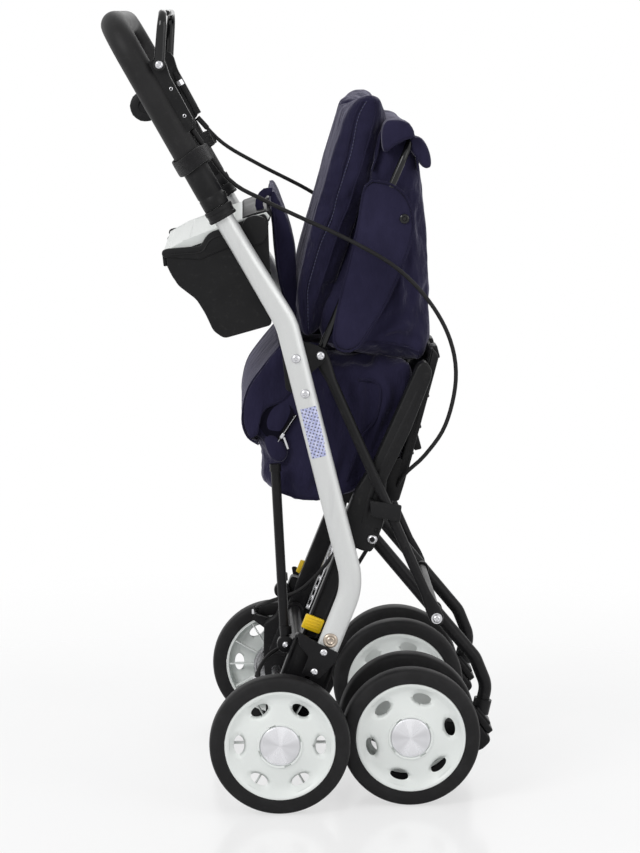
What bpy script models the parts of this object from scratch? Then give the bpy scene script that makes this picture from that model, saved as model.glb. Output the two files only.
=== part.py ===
"""Folding rollator with a seat, a fabric bag and a storage box, standing folded on its wheels.

Run with: blender --background --python part.py
The model is in metres with +Z up, +X forwards and +Y to its left. Sizes are given in millimetres,
measured in the side view from the rear axle (x, forwards) and the floor (z, up), and across from
the middle plane (y).
"""

from math import cos, hypot, pi, radians, sin, tan

import bmesh
import bpy
from mathutils import Matrix, Vector

MM = 0.001
GAP = 0.3
MERGE = 0.00001
SIDES = (("right", -1), ("left", 1))

# Wheels
WHEEL_RADIUS = 85.0
AXLE_Z = 85.0  # height of the axles in the side view
LIFT = WHEEL_RADIUS - AXLE_Z  # what other wheels raise the side view by
RIM_RADIUS = 66.7
TYRE_WIDTH = 27.0
TREAD_WIDTH = 19.0
HUB_RADIUS = 26.0
AXLE_RADIUS = 6.0
AXLE_CLEARANCE = 0.3
OVAL_LENGTH = 20.0
OVAL_WIDTH = 10.0
OVAL_CENTRE_RADIUS = 50.0
OVAL_COUNT = 6
DRUM_RADIUS = 30.0
DRUM_WIDTH = 13.0
REAR_TRACK = 443.0
CASTER_TRACK = 284.0
TWIN_SPACING = 88.0
FRONT_AXLE_X = 159.1
WHEEL_STEPS = 24

# Base bars, covers and brackets
BAR_WIDTH = 22.0
BAR_THICKNESS = 18.0
BAR_Y = 162.0
BAR_FOOT = (0.5, 111.0)
BAR_TOP = (104.0, 368.5)
COVER_Y = (150.0, 175.0)
BRACKET_Y = (171.0 + GAP, 191.2)
CROSS_RADIUS = 8.0
BASE_CROSS = (24.0, 170.0)
LATCH_SIZE = (24.0, 18.0, 4.7)
STRUT_RADIUS = 5.8
STRUT_Y = 165.0
STRUT_FOOT = (7.7, 198.0)
STRUT_TOP = (-4.2, 415.5)

# Pivots in the side view
FRAME_PIVOT = (61.1, 208.3)
LINK_PIVOT = (49.5, 551.1)
LEG_PIVOT = (112.4, 325.9)
KNEE_PIVOT = (190.5, 230.1)
BRAKE_PIVOT = (-5.0, 140.0)
PIN_RADIUS = 4.0

# Side tubes and handle
SIDE_Y = 200.0
TUBE_RADIUS = 12.0
OVAL_TUBE_WIDTH = 27.0
OVAL_TUBE_THICKNESS = 17.0
FLAT_FROM = 690.0
FLAT_TO = 590.0
COLLAR_AT = (-68.6, 722.2)
UPPER_BEND = (9.3, 590.7)
KNEE_BEND = (88.7, 275.4)
TUBE_END = (56.5, 194.5)
GRIP_TOP = (-192.4, 941.0)
HANDLE_WALL = 1.8
SLIDE_CLEARANCE = 0.4
HANDLE_RADIUS = TUBE_RADIUS + SLIDE_CLEARANCE + HANDLE_WALL
FOAM_THICKNESS = 2.3
GRIP_RADIUS = HANDLE_RADIUS + FOAM_THICKNESS
SLEEVE_THICKNESS = 1.6
SLEEVE_RADIUS = HANDLE_RADIUS + SLEEVE_THICKNESS
SLEEVE_LENGTH = 58.0
HANDLE_CORNER = 45.0
HANDLE_TRAVEL = 100.0
COLLAR_RADIUS = 17.5
COLLAR_LENGTH = 15.0
BRACKET_SPAN = (57.0, 150.0)
KNOB_AT = 104.0
KNOB_RADIUS = 20.0
KNOB_WIDTH = 14.0

# Links and front legs
LINK_RADIUS = 6.0
LINK_Y = 182.5
LEG_RADIUS = 8.0
LEG_Y = 141.5
LEG_BENDS = ((240.5, 172.1), (254.7, 137.0), (247.5, 104.5))
STEM_TILT = 52.0
STEM_AT = (246.5, 89.2)
STEM_RADIUS = 7.0
HOUSING_SIZE = (38.0, 36.0, 8.0)
FORK_WIDTH = 58.0

# Seat, bag and box
SEAT_HALF_WIDTH = 150.0
RAIL_RADIUS = 4.5
RAIL_Y = 158.0
RAIL_TOP = (159.0, 806.0)
BOX_HALF_WIDTH = 165.0
BOX_WALL = 3.0
CABLE_RADIUS = 2.5

GRIP_REAR_X = GRIP_TOP[0] - GRIP_RADIUS
LEG_FRONT_X = max(x for x, z in LEG_BENDS) + LEG_RADIUS
ORIGIN_X = (GRIP_REAR_X + LEG_FRONT_X) / 2


def clear_scene():
    for item in list(bpy.data.objects):
        bpy.data.objects.remove(item, do_unlink=True)


def new_collection(name):
    group = bpy.data.collections.new(name)
    bpy.context.scene.collection.children.link(group)
    return group


def at(x, y, z):
    """A point in metres in the model's frame, from millimetres in the side view and across."""
    return Vector(((x - ORIGIN_X) * MM, y * MM, (z + LIFT) * MM))


def material(name, colour, roughness, metallic=0.0):
    made = bpy.data.materials.new(name)
    made.use_nodes = True
    shader = made.node_tree.nodes["Principled BSDF"]
    shader.inputs["Base Color"].default_value = (*colour, 1.0)
    shader.inputs["Roughness"].default_value = roughness
    shader.inputs["Metallic"].default_value = metallic
    return made


def place(name, mesh, finish, group=None, smooth_angle=35.0):
    """Link a mesh as a named object with its finish."""
    made = bpy.data.objects.new(name, mesh)
    (group or PARTS).objects.link(made)
    if finish:
        mesh.materials.clear()
        mesh.materials.append(finish)
    mesh.shade_smooth()
    mesh.set_sharp_from_angle(angle=radians(smooth_angle))
    return made


def mesh_of(source, weld=MERGE):
    """Turn a curve object into a welded closed mesh and remove the curve."""
    graph = bpy.context.evaluated_depsgraph_get()
    mesh = bpy.data.meshes.new_from_object(source.evaluated_get(graph))
    mesh.transform(source.matrix_world)
    bpy.data.objects.remove(source, do_unlink=True)
    work = bmesh.new()
    work.from_mesh(mesh)
    bmesh.ops.remove_doubles(work, verts=work.verts, dist=weld)
    bmesh.ops.recalc_face_normals(work, faces=work.faces)
    work.to_mesh(mesh)
    work.free()
    return mesh


def rounded(points, radius, steps=4):
    """A path through points in space whose inner corners are arcs of one radius."""
    path = [Vector(points[0])]
    for before, corner, after in zip(points, points[1:], points[2:]):
        corner = Vector(corner)
        back = (Vector(before) - corner).normalized()
        ahead = (Vector(after) - corner).normalized()
        turn = pi - back.angle(ahead)
        if turn < 0.02:
            path.append(corner)
            continue
        reach = radius * tan(turn / 2)
        centre = corner + (back + ahead).normalized() * (radius / cos(turn / 2))
        start = corner + back * reach - centre
        end = corner + ahead * reach - centre
        axis = start.cross(end).normalized()
        for step in range(steps + 1):
            path.append(centre + Matrix.Rotation(turn * step / steps, 3, axis) @ start)
    path.append(Vector(points[-1]))
    return path


def smooth_path(points, spacing):
    """A smooth curve through points, with a point about every spacing."""
    pts = [Vector(p) for p in points]
    pts = [2 * pts[0] - pts[1]] + pts + [2 * pts[-1] - pts[-2]]
    path = []
    for a, b, c, d in zip(pts, pts[1:], pts[2:], pts[3:]):
        count = max(2, round((c - b).length / spacing))
        for step in range(count):
            t = step / count
            path.append(0.5 * (2 * b + (c - a) * t + (2 * a - 5 * b + 4 * c - d) * t * t
                               + (3 * b - a - 3 * c + d) * t ** 3))
    path.append(pts[-2])
    return path


def tube_mesh(path, radius, rings=2, scales=None, wall=0.0):
    """A tube along points given in millimetres; with a wall it is hollow from end to end."""
    curve = bpy.data.curves.new("path", "CURVE")
    curve.dimensions = "3D"
    curve.bevel_depth = radius * MM
    curve.bevel_resolution = rings
    curve.use_fill_caps = wall == 0.0
    line = curve.splines.new("POLY")
    line.points.add(len(path) - 1)
    for index, point in enumerate(path):
        line.points[index].co = (*at(*point), 1.0)
        line.points[index].radius = scales[index] if scales else 1.0
    carrier = bpy.data.objects.new("path", curve)
    bpy.context.scene.collection.objects.link(carrier)
    if wall == 0.0:
        return mesh_of(carrier)
    shell = bpy.data.objects.new("shell", mesh_of(carrier))
    bpy.context.scene.collection.objects.link(shell)
    solid = shell.modifiers.new("wall", "SOLIDIFY")
    solid.thickness = wall * MM
    solid.offset = -1.0
    return mesh_of(shell)


def outline_mesh(outline, y_low, y_high, bevel=0.0):
    """A side-view outline with thickness across, its long edges rounded if wanted."""
    curve = bpy.data.curves.new("outline", "CURVE")
    curve.dimensions = "2D"
    curve.fill_mode = "BOTH"
    curve.extrude = (y_high - y_low) / 2 * MM
    line = curve.splines.new("POLY")
    line.points.add(len(outline) - 1)
    for index, (x, z) in enumerate(outline):
        line.points[index].co = ((x - ORIGIN_X) * MM, (z + LIFT) * MM, 0.0, 1.0)
    line.use_cyclic_u = True
    carrier = bpy.data.objects.new("outline", curve)
    bpy.context.scene.collection.objects.link(carrier)
    middle = Matrix.Translation((0.0, (y_low + y_high) / 2 * MM, 0.0))
    carrier.matrix_world = middle @ Matrix.Rotation(pi / 2, 4, "X")
    bpy.context.view_layer.update()
    mesh = mesh_of(carrier)
    if bevel:
        work = bmesh.new()
        work.from_mesh(mesh)
        edges = [e for e in work.edges if e.calc_face_angle(0.0) > radians(50)]
        bmesh.ops.bevel(work, geom=edges, offset=bevel * MM, segments=1, profile=0.5,
                        affect="EDGES", material=-1)
        work.to_mesh(mesh)
        work.free()
    return mesh


def arc(centre, radius, start, end, steps):
    """Points of an arc in the side view, angles in degrees."""
    turn = [radians(start + (end - start) * i / steps) for i in range(steps + 1)]
    return [(centre[0] + radius * cos(a), centre[1] + radius * sin(a)) for a in turn]


def cylinder_mesh(centre, axis, radius, length, segments=16):
    """A cylinder about a point, along an axis."""
    work = bmesh.new()
    turn = Vector((0, 0, 1)).rotation_difference(Vector(axis)).to_matrix().to_4x4()
    bmesh.ops.create_cone(work, cap_ends=True, segments=segments, radius1=radius * MM,
                          radius2=radius * MM, depth=length * MM,
                          matrix=Matrix.Translation(at(*centre)) @ turn)
    mesh = bpy.data.meshes.new("cylinder")
    work.to_mesh(mesh)
    work.free()
    return mesh


def turned_mesh(profile, segments):
    """A solid of revolution about local Z from a profile of (radius, height), top to bottom."""
    mesh = bpy.data.meshes.new("profile")
    closed = profile[0][0] > 0.0
    edges = [(i, i + 1) for i in range(len(profile) - 1)]
    if closed:
        edges.append((len(profile) - 1, 0))
    mesh.from_pydata([(r * MM, 0.0, h * MM) for r, h in profile], edges, [])
    carrier = bpy.data.objects.new("profile", mesh)
    bpy.context.scene.collection.objects.link(carrier)
    screw = carrier.modifiers.new("turn", "SCREW")
    screw.steps = segments
    screw.render_steps = segments
    screw.use_merge_vertices = True
    screw.merge_threshold = MERGE
    return mesh_of(carrier)


def join_solids(target, *meshes):
    """Unite further solids with an object."""
    apply_boolean(target, "UNION", meshes)
    return target


def cut_solids(target, *meshes):
    """Cut solids away from an object."""
    apply_boolean(target, "DIFFERENCE", meshes)
    return target


def apply_boolean(target, operation, meshes):
    for mesh in meshes:
        tool = bpy.data.objects.new(target.name + "_tool", mesh)
        CUTTERS.objects.link(tool)
        tool.hide_render = True
        tool.display_type = "WIRE"
        step = target.modifiers.new(operation.lower(), "BOOLEAN")
        step.operation = operation
        step.object = tool


def tyre_profile():
    half, tread = TYRE_WIDTH / 2, TREAD_WIDTH / 2
    inner = RIM_RADIUS + GAP
    return [(WHEEL_RADIUS, tread), (WHEEL_RADIUS, -tread), (WHEEL_RADIUS - 4, -half),
            (inner, -half), (inner, half), (WHEEL_RADIUS - 4, half)]


def rim_profile(drum):
    """Half section of a rim: dished face, web, hub with a blind bore, and a brake drum if wanted."""
    face = TYRE_WIDTH / 2 - 1.5
    bore = AXLE_RADIUS + AXLE_CLEARANCE
    hub_end = -face - 1.5
    outer = [(0.0, face + 1), (HUB_RADIUS, face + 1), (HUB_RADIUS + 6, face - 4),
             (RIM_RADIUS - 6, face - 4), (RIM_RADIUS, face), (RIM_RADIUS, -face),
             (RIM_RADIUS - 4, -face), (RIM_RADIUS - 6, face - 12)]
    if drum:
        web = [(DRUM_RADIUS, face - 10), (DRUM_RADIUS, hub_end - DRUM_WIDTH),
               (bore, hub_end - DRUM_WIDTH)]
    else:
        web = [(14.0, face - 10), (14.0, hub_end), (bore, hub_end)]
    return outer + web + [(bore, face - 4), (0.0, face - 4)]


def wheel(name, x, y, outward, drum):
    """A tyre and its rim, cap side towards outward (+1 or -1 across)."""
    spot = Matrix.Translation(at(x, y, AXLE_Z)) @ Matrix.Rotation(-outward * pi / 2, 4, "X")
    tyre_mesh = turned_mesh(tyre_profile(), WHEEL_STEPS)
    tyre_mesh.transform(spot)
    place(name + "_tyre", tyre_mesh, RUBBER)
    rim_mesh = turned_mesh(rim_profile(drum), WHEEL_STEPS)
    rim_mesh.transform(spot)
    rim = place(name + "_rim", rim_mesh, WHITE)
    for index in range(OVAL_COUNT):
        cut_solids(rim, oval_cutter(x, y, 2 * pi * (index + 0.52) / OVAL_COUNT))


def oval_cutter(x, y, angle):
    """An oval prism through a rim's web, its long axis along the rim."""
    work = bmesh.new()
    bmesh.ops.create_cone(work, cap_ends=True, segments=7, radius1=OVAL_WIDTH / 2 * MM,
                          radius2=OVAL_WIDTH / 2 * MM, depth=TYRE_WIDTH * 2 * MM)
    bmesh.ops.scale(work, vec=(OVAL_LENGTH / OVAL_WIDTH, 1, 1), verts=work.verts)
    mesh = bpy.data.meshes.new("oval")
    work.to_mesh(mesh)
    work.free()
    out = OVAL_CENTRE_RADIUS
    mesh.transform(Matrix.Translation(at(x + out * sin(angle), y, AXLE_Z + out * cos(angle)))
                   @ Matrix.Rotation(angle, 4, "Y") @ Matrix.Rotation(pi / 2, 4, "X"))
    return mesh


def along_bar(distance, offset):
    """A side-view point along the base bar from its foot, offset towards the front."""
    dx, dz = BAR_TOP[0] - BAR_FOOT[0], BAR_TOP[1] - BAR_FOOT[1]
    length = hypot(dx, dz)
    ux, uz = dx / length, dz / length
    return (BAR_FOOT[0] + distance * ux + offset * uz, BAR_FOOT[1] + distance * uz - offset * ux)


def along_handle(distance, offset):
    """A side-view point down the handle from its top, offset towards the front."""
    dx, dz = COLLAR_AT[0] - GRIP_TOP[0], COLLAR_AT[1] - GRIP_TOP[1]
    length = hypot(dx, dz)
    ux, uz = dx / length, dz / length
    return (GRIP_TOP[0] + distance * ux - offset * uz, GRIP_TOP[1] + distance * uz + offset * ux)


def bar_outline(grow, start=0.0):
    length = hypot(BAR_TOP[0] - BAR_FOOT[0], BAR_TOP[1] - BAR_FOOT[1])
    half = BAR_WIDTH / 2 + grow
    return [along_bar(start, -half), along_bar(start, half),
            along_bar(length + grow, half), along_bar(length + grow, -half)]


def across(side, near, far):
    """Lowest and highest y of a span of distances from the middle, on one side."""
    return (near, far) if side > 0 else (-far, -near)


def side_cylinder(side, point, radius, near, far, segments=16):
    """A cylinder across the model at a side-view point, from one distance to another."""
    return cylinder_mesh((point[0], side * (near + far) / 2, point[1]), (0, 1, 0), radius,
                         far - near, segments)


def make_axle():
    half = REAR_TRACK / 2 + TYRE_WIDTH / 2 - 7.0
    mesh = cylinder_mesh((0, 0, AXLE_Z), (0, 1, 0), AXLE_RADIUS, 2 * half, 16)
    place("rear_axle", mesh, STEEL)


def make_base(label, side):
    """Base bar, moulded cover with catch, and axle bracket of one side."""
    bar = outline_mesh(bar_outline(0.0), *across(side, BAR_Y - BAR_THICKNESS / 2,
                                                 BAR_Y + BAR_THICKNESS / 2), bevel=2.5)
    place("base_bar_" + label, bar, BLACK)
    shape = [(166, 536), (171, 541), (178, 541), (183, 531), (181, 521), (150, 455), (122.5, 398),
             (126, 347), (118, 322), (111.6, 309), (98, 312), (74, 326), (74, 341), (93, 386),
             (115, 421)]
    cover = place("bar_cover_" + label, outline_mesh(shape, *across(side, *COVER_Y), bevel=2.0),
                  BLACK)
    catch = [(108.7, 376), (147.3, 370), (144.9, 349.5), (111, 356.8)]
    web = [(108.7, 376), (114.5, 375), (114.5, 356.4), (111, 356.8)]
    join_solids(cover, outline_mesh(web, *across(side, COVER_Y[1] - 4, 190.0)),
                outline_mesh(catch, *across(side, 189.0, 192.5)))
    cut_solids(cover, outline_mesh(bar_outline(GAP), *across(side, BAR_Y - BAR_THICKNESS / 2 - GAP,
                                                             BAR_Y + BAR_THICKNESS / 2 + GAP)),
               side_cylinder(side, LEG_PIVOT, PIN_RADIUS + GAP, 140.0, 180.0))
    plate = [(20.6, 213), (45, 204), (53, 202), (55, 219), (62, 222), (72, 217), (76, 206),
             (72, 190), (66, 168), (45, 115), (16, 70), (-14, 70), (-17, 98), (-16, 148),
             (0, 158), (8, 180)]
    bracket = place("axle_bracket_" + label, outline_mesh(plate, *across(side, *BRACKET_Y),
                                                          bevel=1.5), BLACK)
    join_solids(bracket, side_cylinder(side, FRAME_PIVOT, 8.0, 186.0, SIDE_Y + 9.2, 20),
                side_cylinder(side, BRAKE_PIVOT, PIN_RADIUS, 186.0, 204.5))
    cut_solids(bracket, side_cylinder(side, (0, AXLE_Z), AXLE_RADIUS + GAP, 160.0, 200.0))


def make_base_extras(label, side):
    """Fold latch, bag strut and brake arm of one side."""
    start, depth, height = 109.0, LATCH_SIZE[0], LATCH_SIZE[1]
    corners = [along_bar(start, -16), along_bar(start, depth - 16),
               along_bar(start + height, depth - 16), along_bar(start + height, -16)]
    outer = BAR_Y + BAR_THICKNESS / 2 + GAP
    place("fold_latch_" + label, outline_mesh(corners, *across(side, outer, outer + LATCH_SIZE[2]),
                                              bevel=1.0), YELLOW)
    foot, top = STRUT_FOOT, STRUT_TOP
    strut = place("bag_strut_" + label, tube_mesh([(foot[0], side * STRUT_Y, foot[1] - 8),
                                                   (top[0], side * STRUT_Y, top[1])],
                                                  STRUT_RADIUS, 3), BLACK)
    block = [(-1, 180), (15.6, 180), (28.9, 213), (-1, 213)]
    join_solids(strut, outline_mesh(block, *across(side, 158.5, 171.0)))
    shoe = arc((0, AXLE_Z), DRUM_RADIUS + 3.5, 35, 88, 5)
    arm = shoe + [(-8, 126), (-15, 137), (-31, 149), (-29, 157), (-12, 152), (-3, 150), (6, 146),
                  (34, 118)]
    plate = place("brake_arm_" + label, outline_mesh(arm, *across(side, 193.0, 204.0)), BLACK)
    cut_solids(plate, side_cylinder(side, BRAKE_PIVOT, PIN_RADIUS + GAP, 180.0, 215.0))


def make_base_middle():
    half = BAR_Y - BAR_THICKNESS / 2 - GAP
    place("base_cross_tube", cylinder_mesh((BASE_CROSS[0], 0, BASE_CROSS[1]), (0, 1, 0),
                                           CROSS_RADIUS, 2 * half, 20), BLACK)
    tray = [(185, 556), (194, 545), (156, 400), (144, 404)]
    half = COVER_Y[0] - GAP
    place("base_tray", outline_mesh(tray, -half, half, bevel=3.0), BLACK)


def flattening(z):
    """How far the side tube is flattened at a height, from 0 (round) to 1 (oval)."""
    return min(1.0, max(0.0, (FLAT_FROM - z) / (FLAT_FROM - FLAT_TO)))


def make_side_tube(label, side):
    """Side tube: round where the handle slides on it, flattened to an oval lower down."""
    top = along_handle(hypot(COLLAR_AT[0] - GRIP_TOP[0], COLLAR_AT[1] - GRIP_TOP[1])
                       - HANDLE_TRAVEL - 50.0, 0.0)
    y = side * SIDE_Y
    corners = [(x, y, z) for x, z in (top, COLLAR_AT, UPPER_BEND, KNEE_BEND, TUBE_END)]
    path = rounded(corners, 75.0, 4)
    widest = OVAL_TUBE_WIDTH / 2 / TUBE_RADIUS
    mesh = tube_mesh(path, TUBE_RADIUS, 3, [1 + (widest - 1) * flattening(p[2]) for p in path])
    flat = OVAL_TUBE_THICKNESS / OVAL_TUBE_WIDTH
    for vertex in mesh.vertices:
        squash = 1 + (flat - 1) * flattening(vertex.co.z / MM - LIFT)
        vertex.co.y = y * MM + (vertex.co.y - y * MM) * squash
    tube = place("side_tube_" + label, mesh, SILVER)
    cut_solids(tube, side_cylinder(side, FRAME_PIVOT, 8.0 + GAP, SIDE_Y - 20.0, SIDE_Y + 20.0, 20))
    plate = [(3, 566), (8, 575), (44, 564), (55, 558), (57, 549), (50, 540), (36, 528), (20, 505),
             (8, 510)]
    inner = SIDE_Y - OVAL_TUBE_THICKNESS / 2 - GAP
    bracket = place("link_bracket_" + label, outline_mesh(plate, *across(side, inner - 2.4, inner)),
                    BLACK)
    join_solids(bracket, side_cylinder(side, LINK_PIVOT, PIN_RADIUS, 152.5, inner - 1))
    ring = cylinder_mesh((COLLAR_AT[0], y, COLLAR_AT[1]), handle_axis(), COLLAR_RADIUS,
                         COLLAR_LENGTH, 24)
    collar = place("collar_" + label, ring, BLACK)
    cut_solids(collar, cylinder_mesh((COLLAR_AT[0], y, COLLAR_AT[1]), handle_axis(),
                                     TUBE_RADIUS + 0.5, COLLAR_LENGTH * 2, 24))


def handle_axis():
    return (COLLAR_AT[0] - GRIP_TOP[0], 0.0, COLLAR_AT[1] - GRIP_TOP[1])


def handle_length():
    return hypot(COLLAR_AT[0] - GRIP_TOP[0], COLLAR_AT[1] - GRIP_TOP[1])


def u_path(end, corner, steps):
    """The handle's centre line, both legs cut at one distance down from the top."""
    foot = along_handle(end, 0.0)
    points = [(foot[0], -SIDE_Y, foot[1]), (GRIP_TOP[0], -SIDE_Y, GRIP_TOP[1]),
              (GRIP_TOP[0], SIDE_Y, GRIP_TOP[1]), (foot[0], SIDE_Y, foot[1])]
    return rounded(points, corner, steps)


def make_handle():
    """Handle tube with sleeve ends, foam grip, and the height knob with its clamp on the left."""
    end = handle_length() - COLLAR_LENGTH / 2 - GAP
    sleeve = along_handle(end - SLEEVE_LENGTH, 0.0)
    neck = along_handle(end - SLEEVE_LENGTH - 2.0, 0.0)
    path = u_path(end, HANDLE_CORNER, 4)
    path[1:1] = [Vector((sleeve[0], -SIDE_Y, sleeve[1])), Vector((neck[0], -SIDE_Y, neck[1]))]
    path[-1:-1] = [Vector((neck[0], SIDE_Y, neck[1])), Vector((sleeve[0], SIDE_Y, sleeve[1]))]
    wide = SLEEVE_RADIUS / HANDLE_RADIUS
    scales = [wide, wide] + [1.0] * (len(path) - 4) + [wide, wide]
    place("handle_tube", tube_mesh(path, HANDLE_RADIUS, 3, scales, wall=HANDLE_WALL), BLACK)
    foam = u_path(end - SLEEVE_LENGTH - 3.0, HANDLE_CORNER, 4)
    place("handle_grip", tube_mesh(foam, GRIP_RADIUS, 3, wall=GRIP_RADIUS - HANDLE_RADIUS - GAP),
          FOAM)
    disc = along_handle(KNOB_AT, -31.0)
    middle = along_handle(KNOB_AT, 0.0)
    clamp = place("knob_clamp", cylinder_mesh((middle[0], SIDE_Y, middle[1]), handle_axis(),
                                              GRIP_RADIUS + 3.0, 18.0, 20), BLACK)
    front = [along_handle(KNOB_AT + s, f) for s, f in ((-20, 6), (20, 6), (20, 30), (-20, 30))]
    ear = [along_handle(KNOB_AT + s, f) for s, f in ((-7, -12), (7, -12), (6, -37), (-6, -37))]
    pin_end = SIDE_Y - KNOB_WIDTH - 19.0
    join_solids(clamp, outline_mesh(ear, SIDE_Y - 17.0, SIDE_Y - 9.0),
                side_cylinder(1, disc, PIN_RADIUS, pin_end, SIDE_Y - 12.0))
    cut_solids(clamp, grip_cutter(1), outline_mesh(front, SIDE_Y - 30.0, SIDE_Y + 30.0))
    knob = place("height_knob", side_cylinder(1, disc, KNOB_RADIUS, SIDE_Y - KNOB_WIDTH - 21.0,
                                              SIDE_Y - 21.0, 24), BLACK)
    cut_solids(knob, side_cylinder(1, disc, PIN_RADIUS + GAP, pin_end - 1.0, SIDE_Y))


def grip_cutter(side):
    """A straight run of the foam grip, a gap larger, for what seats on it."""
    middle = along_handle(110.0, 0.0)
    return cylinder_mesh((middle[0], side * SIDE_Y, middle[1]), handle_axis(),
                         GRIP_RADIUS + GAP + 0.2, 150.0, 24)


def make_lever(label, side):
    """Lever bracket on the grip and the brake lever that turns on it."""
    pivot = along_handle(66.0, 24.0)
    upper, lower = BRACKET_SPAN
    shape = [along_handle(s, f) for s, f in ((upper, 11), (upper, 29), (upper + 9, 32), (84, 28),
                                             (lower - 10, 27), (lower, 20), (lower, 11))]
    bracket = place("lever_bracket_" + label,
                    outline_mesh(shape, *across(side, SIDE_Y - 9.5, SIDE_Y + 9.0)), BLACK)
    join_solids(bracket, side_cylinder(side, pivot, 3.0, SIDE_Y, SIDE_Y + 18.2))
    cut_solids(bracket, grip_cutter(side))
    tip = (-134.5, 955.0)
    out = SIDE_Y + 14.0
    path = rounded([(pivot[0], side * out, pivot[1]), (tip[0], side * out, tip[1]),
                    (tip[0] - 3, side * 118.0, tip[1])], 16.0, 4)
    lever = place("brake_lever_" + label, tube_mesh(path, 4.5, 2), GLOSS)
    join_solids(lever, side_cylinder(side, pivot, 7.0, out - 4.0, out + 4.0))
    cut_solids(lever, side_cylinder(side, pivot, 3.0 + GAP, out - 19.0, out + 11.0))


def make_link(label, side):
    """Fold link: a tube with an eye on the upper pivot and its own pin at the knee."""
    y = side * LINK_Y
    link = place("fold_link_" + label, tube_mesh([(LINK_PIVOT[0], y, LINK_PIVOT[1]),
                                                  (KNEE_PIVOT[0], y, KNEE_PIVOT[1])],
                                                 LINK_RADIUS, 2), BLACK)
    near, far = LINK_Y - 5.6, LINK_Y + 5.6
    join_solids(link, side_cylinder(side, LINK_PIVOT, 9.0, near, far),
                side_cylinder(side, KNEE_PIVOT, 9.0, near, far),
                side_cylinder(side, KNEE_PIVOT, 5.0, LEG_Y + LEG_RADIUS + GAP, far + 3.0))
    cut_solids(link, side_cylinder(side, LINK_PIVOT, PIN_RADIUS + GAP, 160.0, 200.0))


def make_front_leg(label, side):
    """Front leg with its pivot pin, and the caster housing at its end."""
    y = side * LEG_Y
    path = rounded([(x, y, z) for x, z in (LEG_PIVOT, LEG_BENDS[0], LEG_BENDS[1], LEG_BENDS[2])],
                   32.0, 4)
    leg = place("front_leg_" + label, tube_mesh(path, LEG_RADIUS, 3), BLACK)
    join_solids(leg, side_cylinder(side, LEG_PIVOT, 10.0, LEG_Y - 7.5, LEG_Y + 7.5),
                side_cylinder(side, LEG_PIVOT, PIN_RADIUS, LEG_Y, COVER_Y[1] + 3.0),
                side_cylinder(side, LEG_PIVOT, 6.5, COVER_Y[1] + GAP, COVER_Y[1] + 3.4))
    stem = caster_place(side)
    plate = box_mesh(HOUSING_SIZE, (-5, 0, 1.3 + HOUSING_SIZE[2] / 2))
    plate.transform(stem)
    housing = place("caster_housing_" + label, plate, BLACK)
    pin = turned_mesh([(0, 5), (STEM_RADIUS, 5), (STEM_RADIUS, -26), (0, -26)], 12)
    pin.transform(stem)
    last, before = Vector(path[-1]), Vector(path[-2])
    back = (before - last).normalized()
    join_solids(housing, pin, cylinder_mesh(last + back * 7, back, LEG_RADIUS + 3, 18.0, 16))
    cut_solids(housing, cylinder_mesh(last + back * 20, back, LEG_RADIUS + 0.4, 40.6, 16))


def box_mesh(size, centre):
    """A box in millimetres about a local point."""
    work = bmesh.new()
    bmesh.ops.create_cube(work, size=1.0)
    bmesh.ops.scale(work, vec=[s * MM for s in size], verts=work.verts)
    bmesh.ops.translate(work, vec=[c * MM for c in centre], verts=work.verts)
    mesh = bpy.data.meshes.new("box")
    work.to_mesh(mesh)
    work.free()
    return mesh


def caster_place(side):
    """Frame of a caster: its swivel axis is local Z, tilted while the frame is folded."""
    return (Matrix.Translation(at(STEM_AT[0], side * CASTER_TRACK / 2, STEM_AT[1]))
            @ Matrix.Rotation(radians(STEM_TILT), 4, "Y"))


def make_caster(label, side):
    """Swivelling fork with the axle of its two wheels, and the wheels."""
    y = side * CASTER_TRACK / 2
    tilt = radians(STEM_TILT)

    def tilted(x, z):
        return (STEM_AT[0] + x * cos(tilt) + z * sin(tilt), STEM_AT[1] - x * sin(tilt) + z * cos(tilt))

    arm = [tilted(x, z) for x, z in ((22.5, 1), (25, -18), (-28, -82), (-60, -84), (-66, -66),
                                     (-20, -16), (-20, 1))]
    fork = place("caster_fork_" + label, outline_mesh(arm, y - 20.0, y + 20.0, bevel=2.5), BLACK)
    axle = (FRONT_AXLE_X, AXLE_Z)
    centre = (axle[0], y, axle[1])
    join_solids(fork, cylinder_mesh(centre, (0, 1, 0), 14.0, FORK_WIDTH + 2.0, 20),
                cylinder_mesh(centre, (0, 1, 0), AXLE_RADIUS, TWIN_SPACING + 12.0, 16))
    bore = turned_mesh([(0, 12), (STEM_RADIUS + GAP, 12), (STEM_RADIUS + GAP, -27), (0, -27)], 12)
    bore.transform(caster_place(side))
    cut_solids(fork, bore)
    for place_name, outward in (("outer", side), ("inner", -side)):
        wheel("caster_" + label + "_" + place_name, FRONT_AXLE_X, y + outward * TWIN_SPACING / 2,
              outward, drum=False)


def make_cross_tubes():
    half = LEG_Y - LEG_RADIUS - GAP
    place("front_cross_tube", cylinder_mesh((KNEE_PIVOT[0], 0, KNEE_PIVOT[1]), (0, 1, 0), 7.0,
                                            2 * half, 20), BLACK)
    half = SIDE_Y - OVAL_TUBE_THICKNESS / 2 - 2.4 - 2 * GAP
    place("frame_cross_tube", cylinder_mesh((20.2, 0, 549.7), (0, 1, 0), CROSS_RADIUS, 2 * half,
                                            20), BLACK)


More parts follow.
